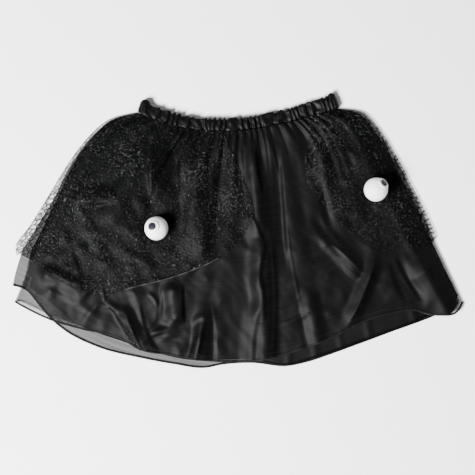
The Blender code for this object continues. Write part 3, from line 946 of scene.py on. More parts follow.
@dataclass(frozen=True)
class SatinFinish:
    """Smooth black satin: long threads that shine, with soft variation in its gloss."""

    dark: Colour = (0.0010, 0.0010, 0.0011)
    light: Colour = (0.0022, 0.0022, 0.0024)
    low_gloss: float = 0.50
    high_gloss: float = 0.38
    specular: float = 0.085
    thread_depth: float = 0.015
    thread_scale: Row = (60, 1500, 1)
    patch_scale: Row = (28, 28, 1)

    def material(self, name: str) -> bpy.types.Material:
        """The finish as a material.

        Args:
            name: The material's name.

        Returns:
            The material, whose threads are a noise stretched along the cloth.
        """
        shader = Shader(name).set(Specular_IOR_Level=self.specular, Metallic=0.0)
        threads = shader.noise(self.thread_scale)
        patches = shader.noise(self.patch_scale, 3)
        shader.feed(shader.blend(patches, self.dark, self.light), "Base Color")
        shader.feed(shader.spread(patches, self.high_gloss, self.low_gloss), "Roughness")
        shader.bump(threads, self.thread_depth)
        return shader.material


@dataclass(frozen=True)
class SheerFinish:
    """Black organza: dark threads, clear between them, with fine uneven lines across."""

    thread: Colour = (0.0016, 0.0016, 0.0017)
    shine: Colour = (0.0030, 0.0030, 0.0033)
    thin: float = 0.40
    thick: float = 0.56
    roughness: float = 0.52
    specular: float = 0.085
    thread_depth: float = 0.03
    lines_per_metre: float = 800.0
    line_ends_per_metre: float = 10.0
    fade: tuple[float, float] = (0.35, 0.65)

    def material(self, name: str) -> bpy.types.Material:
        """The finish as a material.

        Args:
            name: The material's name.

        Returns:
            The material, whose colour and cover follow one stretched noise.
        """
        shader = Shader(name).set(
            Roughness=self.roughness, Specular_IOR_Level=self.specular, Metallic=0.0
        )
        weft = shader.noise((self.line_ends_per_metre, self.lines_per_metre, 1), 3)
        tone = shader.spread(weft, 0, 1, *self.fade)
        shader.feed(shader.blend(tone, self.thread, self.shine), "Base Color")
        shader.feed(shader.spread(weft, self.thin, self.thick, *self.fade), "Alpha")
        shader.bump(weft, self.thread_depth)
        return shader.material


@dataclass(frozen=True)
class NetFinish:
    """Crackle net: a web of dark threads in cells of a few millimetres, over a finer ground."""

    thread: Colour = (0.002, 0.002, 0.0022)
    ground: Colour = (0.0010, 0.0010, 0.0011)
    cells_per_metre: float = 230.0
    line_width: float = 0.13
    line_cover: float = 0.80
    ground_cover: float = 0.16
    roughness: float = 0.55
    specular: float = 0.05
    web_depth: float = 0.03

    def material(self, name: str) -> bpy.types.Material:
        """The finish as a material.

        Args:
            name: The material's name.

        Returns:
            The material, whose lines lie where two cells meet.
        """
        shader = Shader(name).set(
            Roughness=self.roughness, Specular_IOR_Level=self.specular, Metallic=0.0
        )
        web = shader.node("TexVoronoi", feature="DISTANCE_TO_EDGE", voronoi_dimensions="2D")
        web.inputs["Scale"].default_value = self.cells_per_metre
        web.inputs["Randomness"].default_value = 1.0
        shader.link(shader.where((1, 1, 1)), web.inputs["Vector"])
        distance = web.outputs["Distance"]
        line = shader.spread(distance, 1.0, 0.0, self.line_width / 2, self.line_width)
        cover = shader.spread(line, self.ground_cover, self.line_cover, 0.0, 1.0)
        shader.feed(shader.blend(line, self.ground, self.thread), "Base Color")
        shader.feed(cover, "Alpha")
        shader.bump(line, self.web_depth)
        return shader.material


# How many bands a metre Blender's wave texture has at a scale of 1.
WAVE_BANDS = 10 / math.pi


@dataclass(frozen=True)
class ThreadFinish:
    """Matt serging thread: dark loops with paler gaps between them, evenly along the hem."""

    loop: Colour = (0.0008, 0.0008, 0.0010)
    gap: Colour = (0.005, 0.005, 0.0055)
    loops_per_metre: float = 320.0
    roughness: float = 0.6
    specular: float = 0.08
    unevenness: float = 1.0
    fuzz_per_metre: float = 900.0
    fuzz_depth: float = 0.15

    def material(self, name: str) -> bpy.types.Material:
        """The finish as a material.

        Args:
            name: The material's name.

        Returns:
            The material, whose colour is a sine wave along the hem.
        """
        shader = Shader(name).set(
            Roughness=self.roughness, Specular_IOR_Level=self.specular, Metallic=0.0
        )
        loops = shader.node("TexWave", wave_type="BANDS", bands_direction="X")
        loops.inputs["Scale"].default_value = self.loops_per_metre / WAVE_BANDS
        loops.inputs["Distortion"].default_value = self.unevenness
        shader.link(shader.where((1, 1, 1)), loops.inputs["Vector"])
        shader.feed(shader.blend(loops.outputs["Fac"], self.loop, self.gap), "Base Color")
        shader.bump(shader.noise((self.fuzz_per_metre,) * 3, cloth=False), self.fuzz_depth)
        return shader.material


@dataclass(frozen=True)
class FleckFinish:
    """Silver glitter, whose flecks vary in tone."""

    dull: Colour = (0.03, 0.03, 0.033)
    bright: Colour = (0.36, 0.36, 0.37)
    metallic: float = 0.4
    roughness: float = 0.40
    tones_per_metre: float = 400.0

    def material(self, name: str) -> bpy.types.Material:
        """The finish as a material.

        Args:
            name: The material's name.

        Returns:
            The material.
        """
        shader = Shader(name).set(Metallic=self.metallic, Roughness=self.roughness)
        tone = shader.noise((self.tones_per_metre,) * 3, 0, cloth=False)
        shader.feed(shader.blend(tone, self.dull, self.bright), "Base Color")
        return shader.material


@dataclass(frozen=True)
class MouldedFinish:
    """Moulded foam or plastic, with a faint grain."""

    colour: Colour
    shade: Colour
    roughness: float
    grain_per_metre: float = 900.0
    grain_depth: float = 0.05
    cover: float = 1.0
    specular: float = 0.5

    def material(self, name: str) -> bpy.types.Material:
        """The finish as a material.

        Args:
            name: The material's name.

        Returns:
            The material.
        """
        shader = Shader(name).set(
            Roughness=self.roughness,
            Metallic=0.0,
            Alpha=self.cover,
            Specular_IOR_Level=self.specular,
        )
        grain = shader.noise((self.grain_per_metre,) * 3, cloth=False)
        shader.feed(shader.blend(grain, self.shade, self.colour), "Base Color")
        shader.bump(grain, self.grain_depth)
        return shader.material


@dataclass
class ClothPanel:
    """A front or back panel, as a thin shell on its solid's form."""

    name: str
    node: str
    slot: str
    sections: Sections
    hem: Curve
    height: Height
    inset: float
    cut: tuple[float, float]
    cut_area: float
    columns: int
    rows: int
    rests_on: tuple[str, ...]

    def shares(self) -> tuple[Array, Array]:
        """Where the panel's grid lies: rows run down to the hem, columns from side to side.

        Returns:
            u and v at each row and column.
        """
        across = np.linspace(0, 1, self.columns)[None, :]
        v = np.linspace(0, 1, self.rows)[:, None] * self.hem(across)
        inset = self.inset / self.sections.width(v)
        return inset + across * (1 - 2 * inset), v

    def points(self, u: Array, v: Array) -> Array:
        """Points of the panel at given shares, in millimetres."""
        x, y = self.sections.place(u, v)
        return np.stack([x, y, self.height(u, v, x, y)], axis=-1)

    def build(self, material: bpy.types.Material) -> bpy.types.Object:
        """Builds the shell, with a map in metres of flat cloth.

        Args:
            material: What the panel is made of.

        Returns:
            The shell, which stands for the panel's solid.
        """
        u, v = self.shares()
        points = self.points(u, v).reshape(-1, 3)
        uv = np.stack([u * self.cut[0], -v * self.cut[1]], axis=-1).reshape(-1, 2)
        piece = mesh_piece(self.name, points, grid_faces(self.rows, self.columns), material, uv)
        thicken(piece, CLOTH)
        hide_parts(self.node)
        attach(piece, "root")
        return piece

    def declare(self, piece: bpy.types.Object, trims: Sequence[bpy.types.Object]) -> None:
        """Does nothing: the cut and the trims are not stated.

        Args:
            piece: The panel's shell. Not used.
            trims: Its hem and other trims. Not used.
        """

    def hem_line(self, rise: float, up_by: float, span: tuple[float, float]) -> Array:
        """Points along the hem, or a span of it.

        Args:
            rise: How far they lie above the cloth's middle, in millimetres.
            up_by: How far they lie up from its edge, as a share of the skirt's length.
            span: Where they start and end, as shares of the hem.

        Returns:
            Points by 3, in millimetres.
        """
        u, v = self.shares()
        line = self.points(u[-1], v[-1] - up_by)
        line[:, 2] += rise
        start, end = (int(share * len(line)) for share in span)
        return line[start:end]


@dataclass
class Petal(ClothPanel):
    """A net petal over the front organza, sewn in at the waist."""

    side: Side = Side.LEFT
    margin: float = 0.06
    corner_lift: float = 0.03
    corner_power: int = 6

    def shares(self) -> tuple[Array, Array]:
        """Where the petal's grid lies.

        The share across runs from the outer edge to the inner one at the waist. Outside the front's
        side inset, the petal's rows run level out to its outer edge, and the lowest rise a little.

        Returns:
            u and v at each row and column.
        """
        across = np.linspace(-self.margin, 1, self.columns)[None, :]
        down = np.linspace(0, 1, self.rows)[:, None]
        if self.side is Side.LEFT:
            outer_column, inner_column, edge, way = 1, 2, 0.0, 1.0
        else:
            outer_column, inner_column, edge, way = 4, 3, 1.0, -1.0
        inner_waist = PETAL_EDGES.rows[0][inner_column]
        at_waist = edge + np.clip(across, 0, 1) * (inner_waist - edge)
        v = down * PETAL_LINE(at_waist)
        inset = edge + way * SIDE_INSET / FRONT.width(v)
        inner = PETAL_EDGES(v, inner_column)
        outer = PETAL_EDGES(v, outer_column)
        within = inset + across * (inner - inset)
        beyond = inset - across / self.margin * (outer - inset)
        u = np.where(across < 0, beyond, within)
        v = v * (1 - self.corner_lift * ease(-across / self.margin) * down**self.corner_power)
        if self.side is Side.RIGHT:
            u, v = u[:, ::-1], v[:, ::-1]
        return u, v

    def side_line(self) -> Array:
        """Points down the petal's free side edge, which hangs past the skirt's side.

        Returns:
            Points by 3, in millimetres.
        """
        u, v = self.shares()
        column = 0 if self.side is Side.LEFT else -1
        return self.points(u[:, column], v[:, column])


@dataclass
class Hem:
    """A narrow serged hem: a tube along the edge whose thread loops swell it at even steps."""

    name: str
    radius: float
    swell: float
    pitch: float
    slot: str
    flat: float = 0.7
    up_by: float = 0.0
    span: tuple[float, float] = (0.0, 1.0)
    rise: float = 0.0
    step: float = 0.9
    sides: int = 6

    def build(self, line: Array, material: bpy.types.Material) -> bpy.types.Object:
        """The hem along a line: its radius is the base plus a squared cosine every pitch.

        Args:
            line: Points by 3, in millimetres.
            material: What the thread is made of.

        Returns:
            The hem.
        """
        lengths = run_along(line)
        at = np.linspace(0, lengths[-1], int(lengths[-1] / self.step))
        path = np.stack([np.interp(at, lengths, line[:, k]) for k in range(3)], axis=1)
        radius = self.radius + self.swell * np.cos(math.pi * at / self.pitch) ** 2
        piece = tube_piece(self.name, path, radius, self.sides, material, self.flat)
        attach(piece, "root")
        return piece


# Where the glitter lies thick on each petal: x, y and how far each patch spreads.
GLITTER_PATCHES = {
    Side.LEFT: (
        (-197, 32, 24), (-177, -9, 22), (-134, -24, 22), (-159, -68, 24), (-218, -10, 22),
        (-136, 93, 20), (-50, 70, 17), (-16, 32, 17), (-78, -32, 18), (-184, 113, 18),
        (-98, 22, 8),
    ),
    Side.RIGHT: (
        (112, 114, 18), (92, 72, 16), (142, 69, 18), (122, 27, 20), (167, 2, 20),
        (207, -3, 20), (197, 32, 18), (157, 137, 16),
    ),
}
# Where glitter is left out, in the same columns: painted shade, so that the hollows read as dark as
# their shade.
GLITTER_LEFT_OUT_FOR_SHADE = {
    Side.LEFT: (
        (-87, 84, 13), (-84, 54, 11), (-100, 22, 9), (-28, 62, 9), (-160, 20, 14),
    ),
    Side.RIGHT: (
        (152, 62, 12), (128, 88, 9), (186, 66, 12),
    ),
}


@dataclass
class Glitter:
    """Silver flecks scattered over a petal, thick in some places and thin in others."""

    name: str
    count: int
    length: tuple[float, float]
    width: tuple[float, float]
    seed: int
    slot: str = "glitter_net"
    tries: int = 6
    thin: float = 0.22
    thick: float = 0.8
    at_waist: float = 0.35
    waist_reach: float = 0.3
    tilt: float = 0.45
    lift: float = 0.35

    def cover(self, at: Array, down: Array, side: Side) -> Array:
        """How likely a fleck is: a thin ground, bells of more, bells of less in the hollows as
        painted shade, and less at the waist.

        Args:
            at: Places by 3, in millimetres.
            down: How far down the petal each lies, from 0 to 1.
            side: Which petal it is.

        Returns:
            A chance for each place.
        """
        chance = np.full(len(at), self.thin)
        for x, y, spread in GLITTER_PATCHES[side]:
            chance = np.maximum(chance, self.thick * bell(at[:, 0] - x, at[:, 1] - y, spread))
        # Fewer flecks in the hollows: painted shade.
        for x, y, spread in GLITTER_LEFT_OUT_FOR_SHADE[side]:
            chance = chance * (1 - bell(at[:, 0] - x, at[:, 1] - y, spread))
        return chance * (self.at_waist + (1 - self.at_waist) * ease(down / self.waist_reach))

    def build(self, petal: Petal, material: bpy.types.Material) -> bpy.types.Object:
        """Flecks as small oblongs: each lies on the petal, turned and tilted by chance.

        Args:
            petal: The petal that they lie on.
            material: What they are made of.

        Returns:
            All the flecks as one piece.
        """
        draw = np.random.default_rng(self.seed)
        tried = self.tries * self.count
        # Just over one short, so that each place has a row and a column after it.
        short = 1.001
        r = draw.uniform(0, petal.rows - short, tried)
        c = draw.uniform(0, petal.columns - short, tried)
        at = self.between(petal.points(*petal.shares()), r, c)
        cover = self.cover(at, r / petal.rows, petal.side)
        kept = np.flatnonzero(draw.uniform(0, 1, tried) < cover)[: self.count]
        at = at[kept] + (0, 0, CLOTH)
        count = len(at)
        turn = draw.uniform(0, 2 * math.pi, count)
        tilt = draw.normal(0, self.tilt, (count, 2))
        along = np.stack([np.cos(turn), np.sin(turn), tilt[:, 0]], axis=1)
        across = np.stack([-np.sin(turn), np.cos(turn), tilt[:, 1]], axis=1)
        long_half = draw.uniform(*self.length, count)[:, None] / 2
        wide_half = draw.uniform(*self.width, count)[:, None] / 2
        lift = np.abs(tilt).sum(axis=1)[:, None] * np.array([0, 0, self.lift])
        signs = ((-1, -1), (1, -1), (1, 1), (-1, 1))
        corners = [at + lift + a * along * long_half + b * across * wide_half for a, b in signs]
        points = np.stack(corners, axis=1).reshape(-1, 3)
        faces = np.arange(len(points)).reshape(-1, 4)
        piece = mesh_piece(self.name, points, faces, material)
        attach(piece, "root")
        return piece

    @staticmethod
    def between(points: Array, r: Array, c: Array) -> Array:
        """Points at fractional rows and columns, by the weighted mean of the four around each.

        Args:
            points: The grid's points.
            r: Rows, with fractions.
            c: Columns, with fractions.

        Returns:
            Points by 3, in millimetres.
        """
        row, column = r.astype(int), c.astype(int)
        fr, fc = (r - row)[:, None], (c - column)[:, None]
        top = points[row, column] * (1 - fc) + points[row, column + 1] * fc
        low = points[row + 1, column] * (1 - fc) + points[row + 1, column + 1] * fc
        return top * (1 - fr) + low * fr


@dataclass
class Waistband:
    """The gathered casing: a closed satin tube, pressed flat, over elastic.

    Each wave of its gathers is a row: how fast it runs along the band, then how fast across it, or
    where it starts. The wobbles' rows are height, pace and start.
    """

    height: float = 14.0
    inner: float = 2.2
    outer: float = 2.6
    ruffle: float = 0.7
    frill: float = 0.8
    frill_lag: float = 0.9
    run_gap: float = 0.8
    gathers: int = 26
    steps_a_gather: int = 26
    turn_steps: int = 24
    section_points: int = 28
    puffs: int = 28
    puff: float = 4.2
    puff_shares: Row = (0.66, 0.19, 0.15)
    uneven_share: float = 0.25
    back_shift: float = 1.3
    wobble: float = 2.2
    lean: float = 1.2
    wander: float = 0.6
    valley_power: float = 0.9
    crease_power: float = 0.8
    rim: float = 3.6
    rim_middle: float = 0.6
    rim_crease: float = 1.4
    rim_below: float = 0.5
    knob: float = 0.15
    rise_power: float = 0.6
    depth_power: float = 0.55
    wobbles: tuple[Row, ...] = ((0.9, 9.5, 2), (0.5, 23, 0))
    lean_wave: Row = (7.3, 1)
    wander_wave: Row = (40, 3)
    crease_wave: Row = (1.5, 0.7)
    cross_wave: Row = (2.1, 2.4)
    uneven_wave: Row = (31, 3, 13)
    cut: tuple[float, float] = (0.68, 0.034)

    def line(self, u: Array) -> tuple[Array, Array]:
        """The waist edge, and the way up from it at a right angle, in the skirt's plane.

        Args:
            u: The share across.

        Returns:
            Places by 2 in millimetres, and unit vectors by 2.
        """
        step = 0.002
        zero = np.zeros_like(u)
        x0, y0 = FRONT.place(u - step, zero)
        x1, y1 = FRONT.place(u + step, zero)
        length = np.hypot(x1 - x0, y1 - y0)
        up = np.stack([-(y1 - y0) / length, (x1 - x0) / length], axis=-1)
        return np.stack(FRONT.place(u, zero), axis=-1), up

    def stations(self) -> tuple[Array, Array]:
        """The loop's stations: front run, turn, back run, turn.

        Returns:
            u at each station, and the turn's angle there.
        """
        width = float(FRONT.width(np.zeros(1))[0])
        inset = (self.inner + self.run_gap / 2) / width
        run = inset + (1 - 2 * inset) * np.linspace(0, 1, self.gathers * self.steps_a_gather + 1)
        turn = np.linspace(0, math.pi, self.turn_steps + 2)[1:-1]
        ends = (np.full(len(turn), run[-1]), np.full(len(turn), run[0]))
        u = np.concatenate([run, ends[0], run[::-1], ends[1]])
        half = (np.zeros(len(run)), turn, np.full(len(run), math.pi), math.pi + turn)
        return u, np.concatenate(half)

    def relief(self, u: Array, angle: Array, height_share: Array) -> tuple[Array, Array]:
        """How the gathers shape the casing.

        Between two gathers the face puffs out as a power of a sine, so that each gather is a sharp
        valley, which leans and wanders across the band. Smaller valleys and crossing waves are
        mixed in.

        Args:
            u: The share across at each station.
            angle: The turn's angle at each station.
            height_share: From -1 at the casing's lower edge to 1 at its upper one.

        Returns:
            How far the face falls back from its fullest, and how far the edges rise.
        """
        back = (angle > math.pi / 2) & (angle < 3 * math.pi / 2)
        rows = self.wobbles
        wobble = sum(high * np.sin(pace * math.pi * u + start) for high, pace, start in rows)
        phase = 2 * math.pi * self.puffs * uneven(u) + np.where(back, self.back_shift, 0.0)
        phase = phase + self.wobble * wobble
        pace, start = self.lean_wave
        wander = self.lean * np.sin(pace * math.pi * u + start)[:, None] * height_share
        along, across = self.wander_wave
        wander = wander + self.wander * np.sin(across * height_share + along * u[:, None])
        valley = np.abs(np.sin((phase[:, None] + wander) / 2)) ** self.valley_power
        pace, start = self.crease_wave
        small = np.abs(np.sin(phase[:, None] + pace * wander + start)) ** self.crease_power
        along, across = self.cross_wave
        bands = across * math.pi * height_share + along * phase[:, None] / math.pi
        cross = np.sin(bands) / 2 + 0.5
        pace, start, slow_pace = self.uneven_wave
        vary = np.sin(pace * u + start) * np.sin(slow_pace * u)
        amount = 1 - self.uneven_share + self.uneven_share * vary
        valley_part, small_part, cross_part = self.puff_shares
        full = valley_part * valley + small_part * small + cross_part * cross
        rim = self.rim * (valley - self.rim_middle) + self.rim_crease * (small - 0.5)
        frill = self.frill * np.cos(phase + self.frill_lag)[:, None]
        top = BAND_TOP(u)[:, None] + frill + rim
        edge = np.where(height_share > 0, top, self.rim_below * rim)
        return self.puff * amount[:, None] * (1 - full), edge

    def build(self, material: bpy.types.Material) -> bpy.types.Object:
        """Builds the casing: a section from powers of the sine and cosine, carried round the loop.

        Args:
            material: What the casing is made of.

        Returns:
            The casing, which stands for the waistband's solid.
        """
        u, angle = self.stations()
        line, up = self.line(u)
        theta = np.linspace(0, 2 * math.pi, self.section_points, endpoint=False)[None, :]
        height_share, out_share = -np.cos(theta), np.sin(theta)
        fall, edge = self.relief(u, angle, height_share)
        knob = 1 - self.knob * np.sin(angle)[:, None] ** 2
        rounded = np.sign(height_share) * np.abs(height_share) ** self.rise_power
        rise = rounded * knob * (self.height / 2 + edge)
        depth = np.sign(out_share) * np.abs(out_share) ** self.depth_power
        face = self.outer + self.ruffle
        turn_radius = self.inner + self.run_gap / 2
        far = turn_radius + depth * np.where(out_share > 0, face - fall, self.inner)
        sideways = np.stack([up[:, 1], -up[:, 0]], axis=-1)
        base = line[:, None] + up[:, None] * (SEAM_GAP + self.height / 2 + rise)[..., None]
        plane = base + sideways[:, None] * (np.sin(angle)[:, None] * far)[..., None]
        z = face + turn_radius + np.cos(angle)[:, None] * far
        points = np.concatenate([plane, z[..., None]], axis=-1)
        count = len(u)
        lengths = np.linspace(0, self.cut[0], count)[:, None] * np.ones_like(theta)
        around = np.ones_like(lengths) * theta / (2 * math.pi) * self.cut[1]
        uv = np.stack([around, lengths], axis=-1).reshape(-1, 2)
        faces = grid_faces(count, self.section_points, around=True, along=True)[:, ::-1]
        piece = mesh_piece("waistband_casing", points.reshape(-1, 3), faces, material, uv)
        thicken(piece, CLOTH)
        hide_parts("waistband")
        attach(piece, "root")
        return piece


@dataclass
class BallEye:
    """A white ball with a craft eye on its flat seat."""

    side: Side
    looks: tuple[float, float, float]
    pupil_at: tuple[float, float]
    ball_radius: float = 14.5
    eye_radius: float = 7.5
    plate: float = 1.2
    pupil_radius: float = 4.8
    pupil_thick: float = 0.8
    dome_height: float = 4.0
    dome_wall: float = 0.8
    seat_edge: float = 0.4
    plate_edge: float = 0.15
    pupil_edge: float = 0.2
    ball_steps: int = 40
    dome_steps: int = 16
    sides: int = 64
    sharp_degrees: float = 50.0
    parts: list[bpy.types.Object] = field(default_factory=list)

    def turned(self, name: str, profile: Sequence[tuple[float, float]], node: str,
               material: bpy.types.Material, aside: tuple[float, float] = (0, 0)) -> None:
        """Adds a solid of revolution round the way that the eye looks, closed at both poles.

        Args:
            name: The piece's name, less its side.
            profile: Radius and height pairs, from the lower end of the axis round to the upper.
            node: The solid that it stands for, less its side.
            material: What it is made of.
            aside: How far it lies off the axis.
        """
        rings = np.array(profile, float)[1:-1]
        angle = np.linspace(0, 2 * math.pi, self.sides, endpoint=False)
        x = rings[:, :1] * np.cos(angle)
        y = rings[:, :1] * np.sin(angle)
        z = np.repeat(rings[:, 1:], self.sides, axis=1)
        local = np.stack([x, y, z], axis=-1).reshape(-1, 3)
        poles = np.array([(0, 0, profile[0][1]), (0, 0, profile[-1][1])])
        local = np.vstack([local, poles])
        turn = Vector((0, 0, 1)).rotation_difference(Vector(self.looks)).to_matrix()
        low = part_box(f"ball_{self.side.value}")[0]
        centre = np.array((*BALL_PLACES[self.side], low.z / MM + self.ball_radius))
        points = (local + np.array((*aside, 0))) @ np.array(turn).T + centre
        squares = grid_faces(len(rings), self.sides, around=True)[:, ::-1]
        ring = np.arange(self.sides)
        near = turned_over(fan(len(points) - 2, ring))
        far = fan(len(points) - 1, ring + (len(rings) - 1) * self.sides)
        caps = np.vstack([near, far])
        piece = mesh_piece(f"{name}_{self.side.value}", points, squares, material, caps=caps)
        piece.data.set_sharp_from_angle(angle=math.radians(self.sharp_degrees))
        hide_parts(f"{node}_{self.side.value}")
        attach(piece, "root")
        self.parts.append(piece)

    @staticmethod
    def arc(radius: float, height: float, middle: float, start: float, end: float,
            steps: int) -> list[tuple[float, float]]:
        """Points of an oval about a height on the axis: the sine and cosine of each angle.

        Args:
            radius: How far the oval reaches from the axis.
            height: How far it reaches along the axis.
            middle: The height of its middle.
            start: The first angle from straight down, in degrees.
            end: The last angle.
            steps: How many steps lie between them.

        Returns:
            Radius and height pairs.
        """
        angles = np.radians(np.linspace(start, end, steps + 1))
        return [(radius * math.sin(a), middle - height * math.cos(a)) for a in angles]

    @staticmethod
    def disc(radius: float, low: float, high: float, edge: float) -> list[tuple[float, float]]:
        """The profile of a disc.

        Args:
            radius: The disc's radius.
            low: The height of its lower face.
            high: The height of its upper face.
            edge: How wide its bevels are.

        Returns:
            Radius and height pairs.
        """
        flat = radius - edge
        lower = [(0, low), (flat, low), (radius, low + edge)]
        return lower + [(radius, high - edge), (flat, high), (0, high)]

    def build(self, finishes: dict[str, bpy.types.Material]) -> None:
        """Builds the ball, the backing plate, the pupil and the clear dome over it.

        Args:
            finishes: The materials by the names ball, plate, pupil and dome.
        """
        seat = math.sqrt(self.ball_radius**2 - self.eye_radius**2)
        last = 180 - math.degrees(math.asin(self.eye_radius / self.ball_radius))
        body = self.arc(self.ball_radius, self.ball_radius, 0, 0, last, self.ball_steps)
        body[0] = (0, -self.ball_radius)
        profile = [*body, (self.eye_radius - self.seat_edge, seat), (0, seat)]
        self.turned("ball_body", profile, "ball", finishes["ball"])

        low = seat + SEAM_GAP
        face = low + self.plate
        profile = self.disc(self.eye_radius, low, face, self.plate_edge)
        self.turned("eye_back", profile, "eye_plate", finishes["plate"])

        foot = face + SEAM_GAP
        profile = self.disc(self.pupil_radius, foot, foot + self.pupil_thick, self.pupil_edge)
        self.turned("eye_pupil", profile, "pupil", finishes["pupil"], self.pupil_at)

        r, wall, tall = self.eye_radius, self.dome_wall, self.dome_height
        inner = self.arc(r - wall, tall - wall, foot, 90, 180, self.dome_steps)
        outer = self.arc(r, tall, foot, 90, 180, self.dome_steps)
        inner[-1] = (0, foot + tall - wall)
        outer[-1] = (0, foot + tall)
        self.turned("eye_cover", inner[::-1] + outer, "eye_dome", finishes["dome"])


@dataclass(frozen=True)
class Studio:
    """A pale floor, soft lights and a camera straight above."""

    lens: float = 85.0
    camera_height: float = 1402.0
    camera_y: float = -8.75
    floor_half: float = 3000.0
    floor_drop: float = 0.4
    world: float = 0.07
    paper: tuple[Colour, Colour] = ((0.90,) * 3, (0.93,) * 3)
    key_place: Row = (-1.2, -0.8, 1.75)
    key: float = 310.0
    key_size: float = 0.8
    fill_place: Row = (1.6, 1.2, 1.2)
    fill: float = 16.0
    fill_size: float = 1.2

    def floor(self) -> bpy.types.Object:
        """A pale floor just below the skirt.

        Returns:
            The floor, which is no part of the skirt.
        """
        half = self.floor_half
        corners = ((-half, -half), (half, -half), (half, half), (-half, half))
        points = np.array([(x, y, -self.floor_drop) for x, y in corners], float)
        shader = Shader("floor_paper").set(Roughness=0.9, Specular_IOR_Level=0.1)
        grain = shader.noise((40, 40, 40), 3, cloth=False)
        shader.feed(shader.blend(grain, *self.paper), "Base Color")
        piece = mesh_piece("floor", points, np.array([[0, 1, 2, 3]]), shader.material)
        return piece

    def lamp(self, name: str, place: Row, energy: float, size: float) -> None:
        """A square soft light that points at the skirt's middle.

        Args:
            name: The light's name.
            place: Where it is, in metres.
            energy: How strong it is, in watts.
            size: How wide it is, in metres.
        """
        data = bpy.data.lights.new(name, "AREA")
        data.energy = energy
        data.size = size
        lamp = bpy.data.objects.new(name, data)
        lamp.location = place
        lamp.rotation_euler = (-Vector(place)).to_track_quat("-Z", "Y").to_euler()
        bpy.context.scene.collection.objects.link(lamp)

    def light(self) -> None:
        """A key light from the lower left, a softer one from above right, and a pale sky."""
        self.lamp("key", self.key_place, self.key, self.key_size)
        self.lamp("fill", self.fill_place, self.fill, self.fill_size)
        world = bpy.data.worlds.new("studio")
        world.use_nodes = True
        world.node_tree.nodes["Background"].inputs["Color"].default_value = (1, 1, 1, 1)
        world.node_tree.nodes["Background"].inputs["Strength"].default_value = self.world
        bpy.context.scene.world = world

    def camera(self) -> None:
        """Looks straight down, with the waist toward the top of the picture."""
        data = bpy.data.cameras.new("camera")
        data.lens = self.lens
        data.sensor_width = 36.0
        data.clip_end = 20.0
        camera = bpy.data.objects.new("camera", data)
        camera.location = (0, self.camera_y * MM, self.camera_height * MM)
        bpy.context.scene.collection.objects.link(camera)
        bpy.context.scene.camera = camera


def report(piece: bpy.types.Object) -> None:
    """Logs a piece's name and how many faces it has."""
    log.info("%s: %d faces", piece.name, len(piece.data.polygons))


def panels() -> dict[str, ClothPanel]:
    """The four panels and the two petals, from the surface up.

    Returns:
        Each one by its short name.
    """
    thinning = 1.0

    def count(number: int) -> int:
        return int(number / thinning)

    return {
        "organza_back": ClothPanel(
            "organza_back_shell", "organza_back", "organza", BACK, ORGANZA_BACK_HEM,
            organza_back_height, 0.0, (0.62, 0.33), 0.165, count(220), count(80), ("floor",),
        ),
        "lining_back": ClothPanel(
            "lining_back_shell", "lining_back", "lining_satin", BACK, LINING_BACK_HEM,
            lining_back_height, LINING_BACK_INSET, (0.58, 0.32), 0.150, count(160), count(60),
            ("organza_back_shell",),
        ),
        "lining_front": ClothPanel(
            "lining_front_shell", "lining_front", "lining_satin", FRONT, LINING_FRONT_HEM,
            lining_front_height, SIDE_INSET, (0.58, 0.31), 0.150, count(260), count(110),
            ("lining_back_shell",),
        ),
        "organza_front": ClothPanel(
            "organza_front_shell", "organza_front", "organza", FRONT, ORGANZA_FRONT_HEM,
            organza_front_height, 0.0, (0.61, 0.32), 0.160, count(300), count(130),
            ("lining_front_shell", "organza_back_shell"),
        ),
        "petal_left": Petal(
            "petal_shell_left", "net_petal_left", "glitter_net", FRONT, PETAL_LINE,
            petal_height, 0.0, (0.34, 0.25), 0.060, count(170), count(120),
            ("organza_front_shell",), Side.LEFT, 0.09,
        ),
        "petal_right": Petal(
            "petal_shell_right", "net_petal_right", "glitter_net", FRONT, PETAL_LINE,
            petal_height, 0.0, (0.18, 0.21), 0.025, count(100), count(110),
            ("organza_front_shell",), Side.RIGHT, 0.12,
        ),
    }


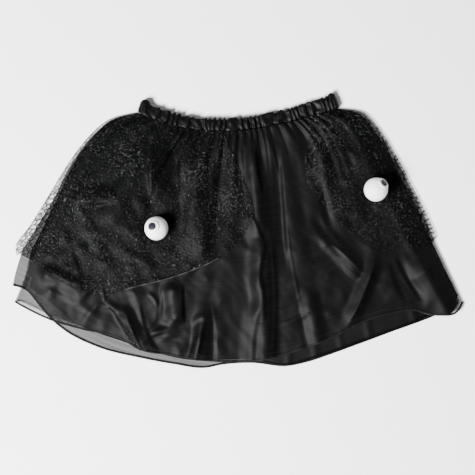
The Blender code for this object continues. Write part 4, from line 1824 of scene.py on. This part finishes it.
def main() -> None:
    """Builds the skirt, from the surface up, and then the studio."""
    satin = SatinFinish().material("black_satin")
    band = SatinFinish(low_gloss=0.50, high_gloss=0.36, specular=0.065).material("gathered_satin")
    organza = SheerFinish().material("black_organza")
    net = NetFinish().material("crackle_net")
    thread = ThreadFinish().material("serging_thread")
    # The front lining's hem thread is far paler than the black satin: a painted highlight for the
    # sheen along its rolled edge.
    lining_hem_painted_highlight = ThreadFinish((0.018,) * 3, (0.042,) * 3, 500.0).material("lining_hem_thread_painted_highlight")
    # The petal's folded edge is far paler than the black net: a painted highlight for the light
    # along the fold.
    net_fold_painted_highlight = ThreadFinish((0.008,) * 3, (0.022,) * 3, 60.0).material("net_folded_edge_painted_highlight")
    selvedge_thread = ThreadFinish((0.02,) * 3, (0.08,) * 3, 200.0).material("net_selvedge")
    fleck = FleckFinish().material("silver_glitter")
    cloths = {
        "organza_back": organza,
        "lining_back": satin,
        "lining_front": satin,
        "organza_front": organza,
        "petal_left": net,
        "petal_right": net,
    }
    hems = {
        "organza_back": Hem("organza_back_hem", 1.1, 0.5, 3.4, "organza", 0.3, 0.003, rise=0.1),
        "organza_front": Hem("organza_front_hem", 1.1, 0.5, 3.4, "organza", 0.4, 0.003),
        "lining_front": Hem("lining_front_hem", 0.5, 0.1, 5.0, "lining_satin"),
        "lining_back": Hem("lining_back_hem", 0.5, 0.1, 5.0, "lining_satin"),
        "petal_left": Hem(
            "petal_fold_left", 0.8, 0.25, 9.0, "glitter_net", 0.4, span=(0.45, 0.83)
        ),
    }
    edges = {
        "organza_back": thread,
        "organza_front": thread,
        "lining_front": lining_hem_painted_highlight,
        "lining_back": satin,
        "petal_left": net_fold_painted_highlight,
    }
    flecks = {
        "petal_left": Glitter("glitter_left", 4800, (0.25, 0.6), (0.11, 0.23), 11),
        "petal_right": Glitter("glitter_right", 2000, (0.25, 0.6), (0.11, 0.23), 12),
    }
    for key, panel in panels().items():
        piece = panel.build(cloths[key])
        report(piece)
        trims = []
        if key in hems:
            hem = hems[key]
            line = panel.hem_line(hem.rise, hem.up_by, hem.span)
            trims.append(hem.build(line, edges[key]))
        if isinstance(panel, Petal):
            selvedge = Hem(f"petal_selvedge_{panel.side.value}", 0.3, 0.1, 4.0, "glitter_net")
            trims.append(selvedge.build(panel.side_line(), selvedge_thread))
            trims.append(flecks[key].build(panel, fleck))
        for trim in trims:
            report(trim)
        panel.declare(piece, trims)
    report(Waistband().build(band))
    plastics = {
        "ball": MouldedFinish((0.86, 0.86, 0.85), (0.78, 0.78, 0.77), 0.75, 700, 0.12),
        "plate": MouldedFinish((0.88, 0.88, 0.90), (0.84, 0.84, 0.86), 0.35),
        "pupil": MouldedFinish((0.010, 0.010, 0.017), (0.007, 0.007, 0.012), 0.5, specular=0.1),
        "dome": MouldedFinish((0.05, 0.05, 0.07), (0.04, 0.04, 0.06), 0.10, 300, 0.02, 0.03),
    }
    finishes = {name: finish.material(f"eye_{name}") for name, finish in plastics.items()}
    eyes = (
        BallEye(Side.LEFT, (-0.25, 0.11, 0.96), (-0.9, 0.7)),
        BallEye(Side.RIGHT, (0.59, 0.52, 0.62), (0.3, 0.4)),
    )
    for eye in eyes:
        eye.build(finishes)
        for part in eye.parts:
            report(part)
    studio = Studio()
    studio.floor()
    studio.light()
    studio.camera()


if __name__ == "__main__":
    logging.basicConfig(level=logging.INFO, format="%(message)s")
    main()
